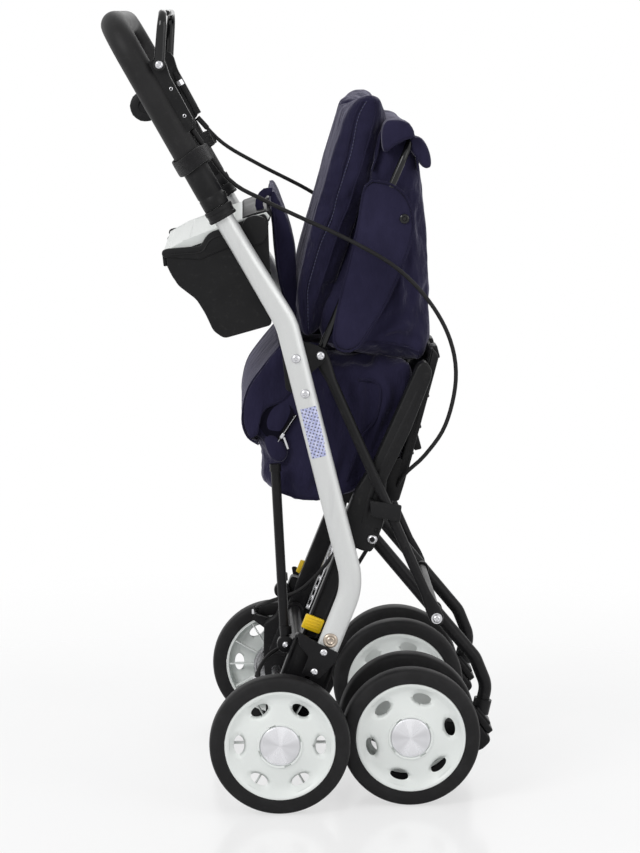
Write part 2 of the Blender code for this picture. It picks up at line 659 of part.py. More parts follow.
def make_box():
    """Storage box hung between the side tubes, and its lid."""
    shell = [(-134, 668), (-131, 652), (-120, 633), (-98, 616), (-87, 598), (-78, 578), (-65, 569),
             (-8, 585), (-12, 710)]
    half = BOX_HALF_WIDTH
    box = place("storage_box", outline_mesh(shell, -half, half, bevel=3.0), PLASTIC)
    hollow = [(-129, 700), (-127, 654), (-116, 636), (-94, 619), (-84, 600), (-75, 581),
              (-64, 573), (-12, 588), (-16, 730)]
    reach = SIDE_Y - TUBE_RADIUS * cos(pi / 10) - GAP
    join_solids(box, *[side_cylinder(s, p, 8.0, half - 4, reach) for _, s in SIDES
                       for p in ((-49.8, 686.0), (-14.0, 618.0))])
    cut_solids(box, outline_mesh(hollow, BOX_WALL - half, half - BOX_WALL))
    lid = [(-137, 667.4), (-137, 674), (-80, 698), (-14, 720), (-10, 715), (-12.5, 710.3)]
    place("box_lid", outline_mesh(lid, -half - 2, half + 2, bevel=1.5), WHITE)


def soft_solid(name, outline, half_width, finish, inset, levels):
    """A crowned solid: the outline across the middle, drawn in towards both ends."""
    work = bmesh.new()
    cx = sum(x for x, z in outline) / len(outline)
    cz = sum(z for x, z in outline) / len(outline)
    rings = []
    for y, scale in ((-1.0, 1 - inset), (-0.93, 1.0 - inset / 4), (-0.45, 1.0), (0.45, 1.0),
                     (0.93, 1.0 - inset / 4), (1.0, 1 - inset)):
        rings.append([work.verts.new(at(cx + (x - cx) * scale, y * half_width,
                                        cz + (z - cz) * scale)) for x, z in outline])
    for first, second in zip(rings, rings[1:]):
        for i in range(len(outline)):
            j = (i + 1) % len(outline)
            work.faces.new((first[i], first[j], second[j], second[i]))
    work.faces.new(rings[0][::-1])
    work.faces.new(rings[-1])
    bmesh.ops.recalc_face_normals(work, faces=work.faces)
    mesh = bpy.data.meshes.new(name)
    work.to_mesh(mesh)
    work.free()
    soft = place(name, mesh, finish)
    round_off = soft.modifiers.new("soft", "SUBSURF")
    round_off.levels = levels
    round_off.render_levels = levels
    return soft


def make_seat():
    """Seat rail hinged on the link pivots, the seat pad, and the bag's upper part under it."""
    y = RAIL_Y
    points = [(LINK_PIVOT[0], -y, LINK_PIVOT[1]), (RAIL_TOP[0], -y, RAIL_TOP[1]),
              (RAIL_TOP[0], y, RAIL_TOP[1]), (LINK_PIVOT[0], y, LINK_PIVOT[1])]
    rail = place("seat_rail", tube_mesh(rounded(points, 30.0, 4), RAIL_RADIUS, 2), GLOSS)
    for _, side in SIDES:
        join_solids(rail, side_cylinder(side, LINK_PIVOT, 9.0, y - 4.4, y + 4.4))
        cut_solids(rail, side_cylinder(side, LINK_PIVOT, PIN_RADIUS + GAP, 140.0, 175.0))
    pad = [(31, 590), (24, 640), (32, 700), (43, 750), (61, 806), (78, 849), (97, 862), (120, 858),
           (125, 832), (106, 765), (86, 700), (66, 635), (48, 582), (40, 558)]
    soft_solid("seat_pad", pad, SEAT_HALF_WIDTH, NAVY, 0.08, 1)
    upper = [(138, 834), (116, 816), (112, 770), (96, 700), (79, 640), (46, 590), (70, 556),
             (110, 552), (176, 552), (183, 600), (184, 660), (177, 730), (174, 800), (160, 832)]
    bag = soft_solid("bag_upper", upper, SEAT_HALF_WIDTH - 1, NAVY, 0.08, 1)
    cut_solids(bag, tube_mesh(rounded(points, 30.0, 4), RAIL_RADIUS + 2 * GAP, 2))


def make_bag():
    """The bag's lower part on the frame and the back flap."""
    lower = [(-4, 542.6), (-28, 524), (-47, 490), (-42, 440), (-18, 420), (-14, 378), (20, 364),
             (66, 365), (108, 386), (136, 425), (156, 470), (166, 520), (160, 541), (50, 541.8)]
    soft_solid("bag_lower", lower, COVER_Y[0] - 2, NAVY, 0.06, 1)
    flap = [(-9, 754), (-9, 730), (-6, 690), (-4, 650), (4, 606), (18, 572), (28, 560), (29.5, 584),
            (27, 610), (25.7, 640), (23.3, 680), (11, 716), (-2, 752)]
    soft_solid("back_flap", flap, 120.0, NAVY, 0.05, 1)


def make_cables():
    """Brake cables from the lever brackets to the brake arms."""
    start = along_handle(BRACKET_SPAN[1] + 1.0, 19.5)
    low = [(151, 158, 401), (140, 140, 374), (126, 126, 336), (100, 124, 290), (66, 127, 238),
           (34, 134, 203), (8, 144, 190), (-12, 158, 180), (-22, 178, 172), (-26, 193, 166),
           (-27, 198, 160.5)]
    right = [(-59, 184, 761), (-18, 180, 736), (26, 180, 715), (86, 180, 687), (140, 180, 655),
             (180, 180, 614), (205, 180, 568), (212, 180, 520), (200, 180, 466), (176, 172, 428)]
    left = [(-68, 192, 786), (-20, 186, 758), (49, 182, 722), (100, 182, 684), (140, 184, 630),
            (160, 185, 570), (166, 184, 500), (164, 176, 444)]
    for label, side, route in (("right", -1, right), ("left", 1, left)):
        points = [(start[0], side * 199.0, start[1])]
        points += [(x, side * y, z) for x, y, z in route + low]
        place("brake_cable_" + label, tube_mesh(smooth_path(points, 30.0), CABLE_RADIUS, 2), BLACK)


clear_scene()
PARTS = new_collection("rollator")
CUTTERS = new_collection("cutters")
SILVER = material("silver_paint", (0.62, 0.63, 0.62), 0.35, 0.3)
STEEL = material("zinc_steel", (0.6, 0.6, 0.62), 0.3, 1.0)
BLACK = material("black_coat", (0.02, 0.02, 0.022), 0.45)
GLOSS = material("gloss_black", (0.015, 0.015, 0.017), 0.15)
PLASTIC = material("black_plastic", (0.025, 0.025, 0.027), 0.5)
FOAM = material("black_foam", (0.03, 0.03, 0.031), 0.85)
RUBBER = material("black_rubber", (0.022, 0.022, 0.023), 0.6)
WHITE = material("white_plastic", (0.85, 0.87, 0.86), 0.4)
YELLOW = material("yellow_plastic", (0.95, 0.65, 0.01), 0.4)
NAVY = material("navy_cloth", (0.028, 0.025, 0.065), 0.9)

make_axle()
make_base_middle()
make_cross_tubes()
make_handle()
make_box()
make_seat()
make_bag()
make_cables()
for label, side in SIDES:
    wheel("rear_" + label, 0.0, side * REAR_TRACK / 2, side, drum=True)
    make_base(label, side)
    make_base_extras(label, side)
    make_side_tube(label, side)
    make_lever(label, side)
    make_link(label, side)
    make_front_leg(label, side)
    make_caster(label, side)
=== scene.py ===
"""Looks of a folding rollator around its fixed frame: wheels, tubes, handle, brakes, seat, bag, box."""

from math import cos, hypot, pi, radians, sin, tan

import bmesh
import bpy
from mathutils import Matrix, Vector, noise


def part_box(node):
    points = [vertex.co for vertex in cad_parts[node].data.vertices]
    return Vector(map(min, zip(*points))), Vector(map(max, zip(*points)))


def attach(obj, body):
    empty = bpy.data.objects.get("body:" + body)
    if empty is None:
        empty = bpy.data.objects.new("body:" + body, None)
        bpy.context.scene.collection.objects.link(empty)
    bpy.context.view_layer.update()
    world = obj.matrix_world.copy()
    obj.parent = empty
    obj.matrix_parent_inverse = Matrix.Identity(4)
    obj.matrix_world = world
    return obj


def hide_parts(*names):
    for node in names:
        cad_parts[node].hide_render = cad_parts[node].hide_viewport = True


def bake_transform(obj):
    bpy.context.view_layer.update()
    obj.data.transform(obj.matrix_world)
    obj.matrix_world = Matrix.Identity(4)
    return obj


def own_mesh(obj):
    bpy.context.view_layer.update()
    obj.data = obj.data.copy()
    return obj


bl_info = {
    "name": "Folding rollator",
    "version": (1, 0, 0),
    "blender": (4, 5, 0),
    "location": "View3D > Sidebar > Rollator",
    "description": "Builds the visible pieces of a folding rollator on its packed frame",
    "category": "Object",
}

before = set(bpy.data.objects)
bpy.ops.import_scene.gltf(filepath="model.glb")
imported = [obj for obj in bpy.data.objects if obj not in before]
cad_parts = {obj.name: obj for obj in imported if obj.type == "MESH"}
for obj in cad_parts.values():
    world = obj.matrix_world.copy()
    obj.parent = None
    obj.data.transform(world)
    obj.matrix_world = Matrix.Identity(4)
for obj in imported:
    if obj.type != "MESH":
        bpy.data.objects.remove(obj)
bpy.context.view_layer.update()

MM = 0.001
SIDES = (("right", -1), ("left", 1))
ORIGIN_X = 26.9
# Name of each wheel, its body, and the side that its outer face looks to
WHEELS = (
    ("rear_right", "rear_wheel_right", -1),
    ("rear_left", "rear_wheel_left", 1),
    ("caster_right_outer", "caster_right_outer", -1),
    ("caster_right_inner", "caster_right_inner", 1),
    ("caster_left_outer", "caster_left_outer", 1),
    ("caster_left_inner", "caster_left_inner", -1),
)

# Side-view places in millimetres: forwards from the rear axle, and up from the floor
AXLE = (0.0, 85.0)
FRAME_PIVOT = (61.1, 208.3)
LINK_PIVOT = (49.5, 551.1)
LEG_PIVOT = (112.4, 325.9)
KNEE_PIVOT = (190.5, 230.1)
BRAKE_PIVOT = (-5.0, 140.0)
COLLAR_AT = (-68.6, 722.2)
GRIP_TOP = (-192.4, 941.0)
UPPER_BEND = (9.3, 590.7)
KNEE_BEND = (88.7, 275.4)
TUBE_END = (56.5, 194.5)
BAR_FOOT = (0.5, 111.0)
BAR_TOP = (104.0, 368.5)
STEM_AT = (246.5, 89.2)
CASTER_AXLE = (159.1, 85.0)
LEG_BENDS = ((240.5, 172.1), (254.7, 137.0), (247.5, 104.5))
RAIL_TOP = (159.0, 806.0)

# Lengths and distances across in millimetres, and angles
HANDLE_RUN = hypot(COLLAR_AT[0] - GRIP_TOP[0], COLLAR_AT[1] - GRIP_TOP[1])
TUBE_Y = 200.0
CASTER_Y = 142.0
STEM_TILT = radians(52.0)
TRAY_TILT = radians(-14.7)
BRACKET_SPAN = (57.0, 150.0)
KNOB_AT = 104.0
LEVER_AT = (66.0, 24.0)

# Each finish, by name
FINISHES = {}


def at(x, y, z):
    """A point in metres in the frame, from millimetres in the side view and across."""
    return Vector(((x - ORIGIN_X) * MM, y * MM, z * MM))


class Wire:
    """A shader output; sums, differences and products with wires and numbers add Math nodes."""

    def __init__(self, tree, socket=None):
        self.tree = tree
        self.socket = socket

    def node(self, kind, sockets=(), output=0, **settings):
        """Add a node: its settings first, then its sockets' values or links."""
        made = self.tree.nodes.new("ShaderNode" + kind)
        for name, value in settings.items():
            setattr(made, name, value)
        for name, value in dict(sockets).items():
            if isinstance(value, Wire):
                self.tree.links.new(value.socket, made.inputs[name])
            else:
                made.inputs[name].default_value = value
        return Wire(self.tree, made.outputs[output])

    def math(self, operation, other=0.0):
        return self.node("Math", {0: self, 1: other}, operation=operation)

    def __add__(self, other):
        return self.math("ADD", other)

    def __mul__(self, other):
        return self.math("MULTIPLY", other)

    def __sub__(self, other):
        return self.math("SUBTRACT", other)

    def length(self):
        return self.node("VectorMath", {0: self}, "Value", operation="LENGTH")

    def clamped(self, low, high):
        """This value spread from a range of its own to 0..1 and held there."""
        return self.node("MapRange", {"Value": self, "From Min": low, "From Max": high}, clamp=True)


def mixed(factor, first, second):
    """A colour between two colours or wires; a Mix node has its colours at 6 and 7, and out at 2."""
    ends = [end if isinstance(end, Wire) else (*end, 1.0) for end in (first, second)]
    return factor.node("Mix", {0: factor, 6: ends[0], 7: ends[1]}, 2, data_type="RGBA")


def times(colour, factor, more=0.0):
    """A colour made lighter or darker."""
    return [min(1.0, c * factor + more) for c in colour]


class Finish:
    """A Principled material under construction; sockets are named with _ for a space."""

    def __init__(self, name, roughness, metallic=0.0, specular=0.5):
        self.material = bpy.data.materials.new(name)
        self.material.use_nodes = True
        tree = self.material.node_tree
        self.shader = tree.nodes["Principled BSDF"]
        self.start = Wire(tree)
        self.fixed(Roughness=roughness, Metallic=metallic, Specular_IOR_Level=specular)
        self.place = self.start.node("TexCoord", output="Object")

    def fixed(self, **values):
        """Set sockets that are the same all over."""
        for name, value in values.items():
            self.shader.inputs[name.replace("_", " ")].default_value = value

    def feed(self, **wires):
        """Link what varies over the surface."""
        for name, wire in wires.items():
            self.start.tree.links.new(wire.socket, self.shader.inputs[name.replace("_", " ")])

    def noise(self, scale, detail=2.0, roughness=0.5, stretch=None):
        """Noise from 0 to 1 over the object, finer with a larger scale."""
        where = self.place
        if stretch:
            where = self.start.node("Mapping", {"Vector": where, "Scale": stretch})
        return self.start.node("TexNoise", {"Vector": where, "Scale": scale, "Detail": detail,
                                            "Roughness": roughness})

    def wave(self, direction, pitch):
        """A sine from -1 to 1 along a direction, one turn each pitch in metres."""
        sockets = {0: self.place, 1: Vector(direction).normalized()}
        along = self.start.node("VectorMath", sockets, "Value", operation="DOT_PRODUCT")
        return (along * (2 * pi / pitch)).math("SINE")

    def bump(self, height, depth, normal=None):
        """Raise the surface by a height from 0 to 1, its full depth in metres."""
        sockets = {"Height": height, "Distance": depth, "Strength": 1.0}
        if normal:
            sockets["Normal"] = normal
        made = self.start.node("Bump", sockets)
        self.feed(Normal=made)
        return made


def grained(name, colour, roughness, grain, depth, spread=0.25, dust=0.0, specular=0.5):
    """A painted or moulded finish: fine grain, mottled colour, uneven gloss and a little dust."""
    made = Finish(name, roughness, 0.0, specular)
    broad = made.noise(22.0, 3.0)
    fine = made.noise(grain, 3.0, 0.6)
    tone = mixed((broad * 0.7 + fine * 0.3).clamped(0.3, 0.7), times(colour, 1 - spread),
                 times(colour, 1 + spread, 0.002))
    if dust:
        specks = made.noise(140.0, 4.0, 0.7).clamped(0.56, 0.78) * dust
        tone = mixed(specks, tone, (0.35, 0.34, 0.33))
    made.feed(Base_Color=tone,
              Roughness=(broad - 0.5) * 0.25 + (fine - 0.5) * 0.12 + roughness)
    made.bump(fine, depth)
    return made


def scratched_paint(name, colour):
    """Silver metallic paint: flakes, a thin clear layer and faint lengthwise rubs."""
    made = Finish(name, 0.36, 0.35)
    flakes = made.noise(2600.0, 1.0, 0.5)
    rubs = made.noise(60.0, 4.0, 0.6, stretch=(1.0, 1.0, 0.08))
    tone = mixed(flakes.clamped(0.35, 0.7), times(colour, 0.93), times(colour, 1.06))
    made.feed(Base_Color=mixed(rubs.clamped(0.58, 0.8) * 0.35, tone, (0.42, 0.42, 0.43)),
              Roughness=rubs.clamped(0.35, 0.75) * 0.12 + 0.3)
    made.fixed(Coat_Weight=0.25, Coat_Roughness=0.22)
    made.bump(flakes, 0.00001)
    return made


def rubber(name, colour):
    """Tyre rubber: matt, a bloom of dust, fine moulding grain."""
    made = Finish(name, 0.62, 0.0, 0.22)
    bloom = made.noise(35.0, 4.0, 0.65)
    made.feed(Base_Color=mixed(bloom.clamped(0.45, 0.8) * 0.5, colour, times(colour, 2.2, 0.01)),
              Roughness=bloom * 0.25 + 0.42)
    made.bump(made.noise(1500.0), 0.00006)
    return made


def cloth(name, colour, pitch=0.0009, sheen=0.5):
    """Plain woven cloth: two crossed threads, uneven dye, rubbed high spots, soft creases, and painted
    shade in the colour along those creases.
    """
    made = Finish(name, 0.88, 0.0, 0.06)
    across = made.wave((0.2, 1.0, 0.1), pitch)
    down = made.wave((0.55, 0.1, 1.0), pitch)
    along = made.wave((1.0, 0.1, -0.55), pitch)
    weave = (across * down + along * across + down * along) * 0.25 + 0.5
    fibre = made.noise(1800.0, 3.0, 0.7)
    fade = made.noise(16.0, 4.0, 0.6)
    crease_and_painted_shade = made.noise(30.0, 3.0, 0.55, stretch=(1.3, 1.1, 0.6)).clamped(0.34, 0.66)
    thread = mixed((weave * 0.6 + fibre * 0.4).clamped(0.25, 0.75), times(colour, 0.66),
                   times(colour, 1.3))
    worn = mixed(fade.clamped(0.35, 0.75) * 0.55, thread, times(colour, 1.55, 0.004))
    # The crease noise also darkens the colour: painted shade standing for the shade in the folds.
    made.feed(Base_Color=mixed(crease_and_painted_shade * 0.38, worn, times(colour, 0.55)),
              Roughness=fibre * 0.15 + 0.78)
    made.fixed(Sheen_Weight=sheen, Sheen_Roughness=0.35, Sheen_Tint=(0.8, 0.78, 0.95, 1.0))
    made.bump(weave * 0.7 + fibre * 0.3, 0.00018, made.bump(crease_and_painted_shade, 0.002))
    return made


def stitching(name, colour, direction):
    """Thread that shows as short stitches along a direction."""
    made = Finish(name, 0.7)
    step = made.wave(direction, 0.004).clamped(-0.55, 0.1)
    made.feed(Base_Color=mixed(step, times(colour, 0.25), colour))
    made.bump(step, 0.0004)
    return made


def reflective(name):
    """Reflective tape: pale blue prism cells with dark joints."""
    made = Finish(name, 0.35, 0.3)
    cells = made.wave((1.0, 0.0, 0.55), 0.0056) * made.wave((-0.55, 0.0, 1.0), 0.0056)
    specks = made.noise(420.0, 3.0, 0.7)
    ground = mixed(specks.clamped(0.35, 0.65), (0.33, 0.36, 0.62), (0.66, 0.68, 0.86))
    joints = (cells + specks * 0.3).clamped(0.45, 0.8)
    made.feed(Base_Color=mixed(joints, ground, (0.11, 0.11, 0.16)))
    made.bump(specks, 0.0001)
    return made


def looped_strap(name, colour):
    """Hook and loop strap: a deep matt pile."""
    made = Finish(name, 0.95, 0.0, 0.2)
    pile = made.noise(900.0, 4.0, 0.8) * 0.6 + made.noise(260.0) * 0.4
    made.feed(Base_Color=mixed(pile.clamped(0.3, 0.7), times(colour, 0.5), times(colour, 2.4)))
    made.fixed(Sheen_Weight=0.3)
    made.bump(pile, 0.0012)
    return made


def brushed(name, colour, roughness=0.28):
    """Plated steel: a fine directional brush and faint stains."""
    made = Finish(name, roughness, 1.0)
    brush = made.noise(900.0, 2.0, 0.5, stretch=(1.0, 0.05, 1.0))
    stain = made.noise(90.0, 3.0)
    made.feed(Base_Color=mixed(stain.clamped(0.4, 0.75) * 0.4, colour, times(colour, 0.7)),
              Roughness=brush * 0.14 + stain * 0.1 + roughness - 0.12)
    made.bump(brush, 0.00002)
    return made


def hub_cap(name, colour):
    """A turned metal cap whose gloss fans out from the middle, from the piece's own UV map; the same
    fan lightens its colour as a painted highlight.
    """
    made = Finish(name, 0.36, 0.55)
    spot = made.start.node("UVMap")
    turn = made.start.node("TexGradient", {"Vector": spot}, "Fac", gradient_type="RADIAL")
    gloss_fan_and_painted_highlight = (turn * (4 * pi) + 0.9).math("SINE") * 0.5 + 0.5
    gloss_fan_and_painted_highlight = gloss_fan_and_painted_highlight * 0.7 + ((turn * (14 * pi) + 2.0).math("SINE") * 0.15 + 0.15)
    grooves = (spot.length() * (2 * pi / 0.0005)).math("SINE") * 0.5 + 0.5
    # The fan also lightens the base colour: a painted highlight of the turned metal's reflection.
    made.feed(Base_Color=mixed(gloss_fan_and_painted_highlight, times(colour, 1.02), times(colour, 1.42)),
              Roughness=gloss_fan_and_painted_highlight * -0.12 + grooves * 0.08 + 0.34)
    made.bump(grooves, 0.00001)
    return made


def rounded(points, radius, steps):
    """A path in millimetres whose inner corners are arcs of one radius."""
    path = [Vector(points[0])]
    for before, corner, after in zip(points, points[1:], points[2:]):
        corner = Vector(corner)
        back = (Vector(before) - corner).normalized()
        ahead = (Vector(after) - corner).normalized()
        turn = pi - back.angle(ahead)
        if turn < 0.02:
            path.append(corner)
            continue
        centre = corner + (back + ahead).normalized() * (radius / cos(turn / 2))
        start = corner + back * radius * tan(turn / 2) - centre
        end = corner + ahead * radius * tan(turn / 2) - centre
        axis = start.cross(end).normalized()
        path += [centre + Matrix.Rotation(turn * step / steps, 3, axis) @ start
                 for step in range(steps + 1)]
    return path + [Vector(points[-1])]


def dense(path, spacing):
    """The same path with more points along its longer runs."""
    points = []
    for a, b in zip(path, path[1:]):
        count = max(1, round((b - a).length / spacing))
        points += [a.lerp(b, step / count) for step in range(count)]
    return points + [path[-1]]


def curve(a, b, c, d, spacing):
    """Points of a smooth curve from b up to c, by the points before and after them."""
    count = max(2, round((c - b).length / spacing))
    return [0.5 * (2 * b + (c - a) * t + (2 * a - 5 * b + 4 * c - d) * t * t
                   + (3 * b - a - 3 * c + d) * t ** 3) for t in (i / count for i in range(count))]


def smooth_path(points, spacing=6.0):
    """A smooth curve through points in millimetres, with a point about every spacing."""
    pts = [Vector(p) for p in points]
    pts = [2 * pts[0] - pts[1]] + pts + [2 * pts[-1] - pts[-2]]
    path = []
    for four in zip(pts, pts[1:], pts[2:], pts[3:]):
        path += curve(*four, spacing)
    return path + [pts[-2]]


def soft_outline(points, spacing):
    """A smooth closed side-view outline through points."""
    pts = [Vector((x, 0, z)) for x, z in points]
    path = []
    for four in zip(pts[-1:] + pts, pts, pts[1:] + pts[:1], pts[2:] + pts[:2]):
        path += curve(*four, spacing)
    return [(p.x, p.z) for p in path]


def round_corners(outline, radius, steps=3):
    """A closed side-view outline whose corners are arcs, smaller where the sides are short."""
    path = []
    for i, corner in enumerate(outline):
        corner = Vector(corner)
        back = Vector(outline[i - 1]) - corner
        ahead = Vector(outline[(i + 1) % len(outline)]) - corner
        reach = min(radius, back.length * 0.45, ahead.length * 0.45)
        start, end = corner + back.normalized() * reach, corner + ahead.normalized() * reach
        for t in (step / steps for step in range(steps + 1)):
            path.append(tuple(start * (1 - t) ** 2 + corner * 2 * t * (1 - t) + end * t * t))
    return path


def arc(centre, radius, start, end, steps):
    """Points of an arc in the side view, angles in degrees."""
    turns = [radians(start + (end - start) * i / steps) for i in range(steps + 1)]
    return [(centre[0] + radius * cos(a), centre[1] + radius * sin(a)) for a in turns]


def lifted(line, y):
    """A side-view line carried to a distance across."""
    return [(x, y, z) for x, z in line]


def along(first, last, distance, offset):
    """A side-view point along a line from its first end, offset to the right of its direction."""
    dx, dz = last[0] - first[0], last[1] - first[1]
    ux, uz = dx / hypot(dx, dz), dz / hypot(dx, dz)
    return (first[0] + distance * ux + offset * uz, first[1] + distance * uz - offset * ux)


def on_bar(*spots):
    """Side-view points up the base bar from its foot, each offset towards the front."""
    return [along(BAR_FOOT, BAR_TOP, distance, offset) for distance, offset in spots]


def on_handle(distance, offset=0):
    """A side-view point down the handle from its top, offset towards the front."""
    return along(GRIP_TOP, COLLAR_AT, distance, -offset)


def handle_place(distance, side=1):
    """A place on a handle tube's middle line, its local Z down the tube."""
    down = (Vector(COLLAR_AT) - Vector(GRIP_TOP)).normalized()
    turned = Vector((0, 0, 1)).rotation_difference(Vector((down.x, 0, down.y))).to_matrix()
    x, z = on_handle(distance)
    return Matrix.Translation(at(x, side * TUBE_Y, z)) @ turned.to_4x4()


def facing(point, side, y=0):
    """A place on a face across the model: local Z points outwards on that side."""
    return Matrix.Translation(at(point[0], side * y, point[1])) @ Matrix.Rotation(
        -side * pi / 2, 4, "X")


def extruded(bm, edges, move):
    """Extrude edges and move what is new; the new edges in place of the old ones."""
    grown = bmesh.ops.extrude_edge_only(bm, edges=edges)["geom"]
    fresh = {g for g in grown if isinstance(g, bmesh.types.BMVert)}
    bmesh.ops.transform(bm, matrix=move, verts=list(fresh))
    return [g for g in grown if isinstance(g, bmesh.types.BMEdge) and set(g.verts) <= fresh]


def woven(points, step, rows):
    """A sheet: an open line of points in metres, carried on by a step in each row."""
    bm = bmesh.new()
    verts = [bm.verts.new(p) for p in points]
    edges = [bm.edges.new(pair) for pair in zip(verts, verts[1:])]
    for _ in range(rows):
        edges = extruded(bm, edges, Matrix.Translation(step))
    return bm


def bevelled(bm, edges, width, segments):
    """Round over edges; the new vertices."""
    return bmesh.ops.bevel(bm, geom=edges, offset=width * MM, segments=segments, profile=0.5,
                           affect="EDGES", material=-1)["verts"]


def sweep(bm, path, sizes, sides=24, up=(0.0, 1.0, 0.0)):
    """Carry a ring along a path in millimetres; sizes are half widths in and across the bend."""
    points = [at(*p) for p in path]
    up = Vector(up)
    if isinstance(sizes, (int, float)):
        sizes = (sizes, sizes)
    if isinstance(sizes, tuple):
        sizes = [sizes] * len(points)
    places = []
    for i, point in enumerate(points):
        tangent = points[min(i + 1, len(points) - 1)] - points[max(i - 1, 0)]
        tangent.normalize()
        up = (up - tangent * up.dot(tangent)).normalized()
        turned = Matrix((up.cross(tangent), up, tangent)).transposed().to_4x4()
        size = Matrix.Diagonal((sizes[i][0] * MM, sizes[i][1] * MM, MM, 1.0))
        places.append(Matrix.Translation(point) @ turned @ size)
    ring = bmesh.ops.create_circle(bm, segments=sides, radius=1.0, matrix=places[0])["verts"]
    first = edges = list({e for v in ring for e in v.link_edges})
    for before, after in zip(places, places[1:]):
        edges = extruded(bm, edges, after @ before.inverted())
    for end in (first, edges):
        bmesh.ops.contextual_create(bm, geom=end)


def cord(bm, line, y, radius, sides=10, spacing=6.0):
    """A round or flat cord along a smooth side-view line."""
    sweep(bm, smooth_path(lifted(line, y), spacing), radius, sides)


def lathe(bm, profile, place, steps=32, closed=False):
    """Spin a profile of (radius, height) in millimetres about local Z, then move it to its place."""
    verts = [bm.verts.new((r * MM, 0.0, h * MM)) for r, h in profile]
    edges = [bm.edges.new(pair) for pair in zip(verts, verts[1:])]
    if closed:
        edges.append(bm.edges.new((verts[-1], verts[0])))
    before = set(bm.verts) - set(verts)
    bmesh.ops.spin(bm, geom=verts + edges, axis=(0, 0, 1), angle=2 * pi, steps=steps, use_merge=True)
    made = [v for v in bm.verts if v not in before]
    bmesh.ops.remove_doubles(bm, verts=made, dist=0.000001)
    made = [v for v in bm.verts if v not in before]
    bmesh.ops.transform(bm, matrix=place, verts=made)


def rod(bm, radius, low, high, place, steps=32):
    """A plain round bar between two heights of a place."""
    lathe(bm, [(0, low), (radius, low), (radius, high), (0, high)], place, steps)


def bolt(bm, point, side, y, radius, height):
    """A button head with a socket, its underside at a distance across."""
    rim = radius * 0.55
    lathe(bm, [(0, height - 1.3), (rim * 0.75, height - 1.3), (rim, height),
               (radius * 0.8, height * 0.85), (radius, height * 0.35), (radius, 0),
               (radius, -0.6), (0, -0.6)], facing(point, side, y), 20)


def nut(bm, point, side, y, across_flats, height):
    """A hexagon nut on a washer with a stub of thread."""
    place = facing(point, side, y)
    washer, flat = across_flats * 0.62, across_flats / 2
    lathe(bm, [(flat * 0.4, 0), (washer, 0), (washer, 1.0), (flat * 0.4, 1.0)], place, 24, True)
    made = bmesh.ops.create_cone(bm, cap_ends=True, segments=6, radius1=flat / cos(pi / 6) * MM,
                                 radius2=flat / cos(pi / 6) * MM, depth=height * MM)["verts"]
    edges = list({e for v in made for e in v.link_edges})
    bmesh.ops.transform(bm, matrix=place @ Matrix.Translation((0, 0, (1 + height / 2) * MM)),
                        verts=made)
    bevelled(bm, edges, 0.4, 2)
    lathe(bm, [(0, height + 3), (flat * 0.42, height + 2.6), (flat * 0.5, height + 2),
               (flat * 0.5, 1)], place, 16)


def block(bm, size, place, soft=0.0, segments=2):
    """A block with its size in millimetres at a place, its edges rounded over."""
    made = bmesh.ops.create_cube(bm, size=1.0)["verts"]
    bmesh.ops.scale(bm, vec=[s * MM for s in size], verts=made)
    if soft:
        made = bevelled(bm, list({e for v in made for e in v.link_edges}), soft, segments)
    bmesh.ops.transform(bm, matrix=place, verts=made)


def tilted(x, y, z, turn=0.0):
    """A place in millimetres, turned about the axis across."""
    return Matrix.Translation(at(x, y, z)) @ Matrix.Rotation(turn, 4, "Y")


def plate(bm, outline, near, far, side=1, soft=0.0, segments=2):
    """A side-view outline with thickness between two distances on one side, its edges rounded."""
    low, high = sorted((side * near, side * far))
    verts = [bm.verts.new(at(*p)) for p in lifted(outline, low)]
    grown = bmesh.ops.extrude_face_region(bm, geom=[bm.faces.new(verts)])["geom"]
    top = [g for g in grown if isinstance(g, bmesh.types.BMVert)]
    bmesh.ops.translate(bm, vec=(0, (high - low) * MM, 0), verts=top)
    faces = list({f for v in verts + top for f in v.link_faces})
    bmesh.ops.recalc_face_normals(bm, faces=faces)
    if soft:
        edges = {e for f in faces for e in f.edges}
        bevelled(bm, [e for e in edges if e.calc_face_angle(0) > radians(35)], soft, segments)


def recess(bm, side, width, depth):
    """Sink a panel into the largest face that looks outwards across, as a moulded part has."""
    bm.normal_update()
    face = max((f for f in bm.faces if f.normal.y * side > 0.98), key=lambda f: f.calc_area())
    bmesh.ops.inset_region(bm, faces=[face], thickness=width * MM, depth=0.0)
    bmesh.ops.inset_region(bm, faces=[face], thickness=depth * 0.8 * MM, depth=-depth * MM)


def side_plate(outline, corner, side, near, far, soft, segments=2, panel=None):
    """A moulded plate on one side, with a sunk panel (width, depth) on its outer face."""
    bm = bmesh.new()
    plate(bm, round_corners(outline, corner) if corner else outline, near, far, side)
    bmesh.ops.recalc_face_normals(bm, faces=bm.faces)
    if panel:
        recess(bm, side, *panel)
    bevelled(bm, [e for e in bm.edges if e.calc_face_angle(0) > radians(24)], soft, segments)
    return bm


def object_of(name, bm, finish=None, smooth_angle=38.0, tidy=True):
    """A named object from a bmesh, with its finish, facing out and shaded smooth."""
    if tidy:
        bmesh.ops.remove_doubles(bm, verts=bm.verts, dist=0.000005)
        bmesh.ops.recalc_face_normals(bm, faces=bm.faces)
    mesh = bpy.data.meshes.new(name)
    bm.to_mesh(mesh)
    bm.free()
    mesh.shade_smooth()
    mesh.set_sharp_from_angle(angle=radians(smooth_angle))
    made = bpy.data.objects.new(name, mesh)
    bpy.context.scene.collection.objects.link(made)
    if finish:
        mesh.materials.append(FINISHES[finish].material)
    return made


def settle(made, body, node=""):
    """Let a piece ride a body; one named X_look stands for X by default."""
    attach(made, body)
    if node == "" and made.name.endswith("_look"):
        node = made.name.removesuffix("_look")
    if node:
        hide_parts(node)


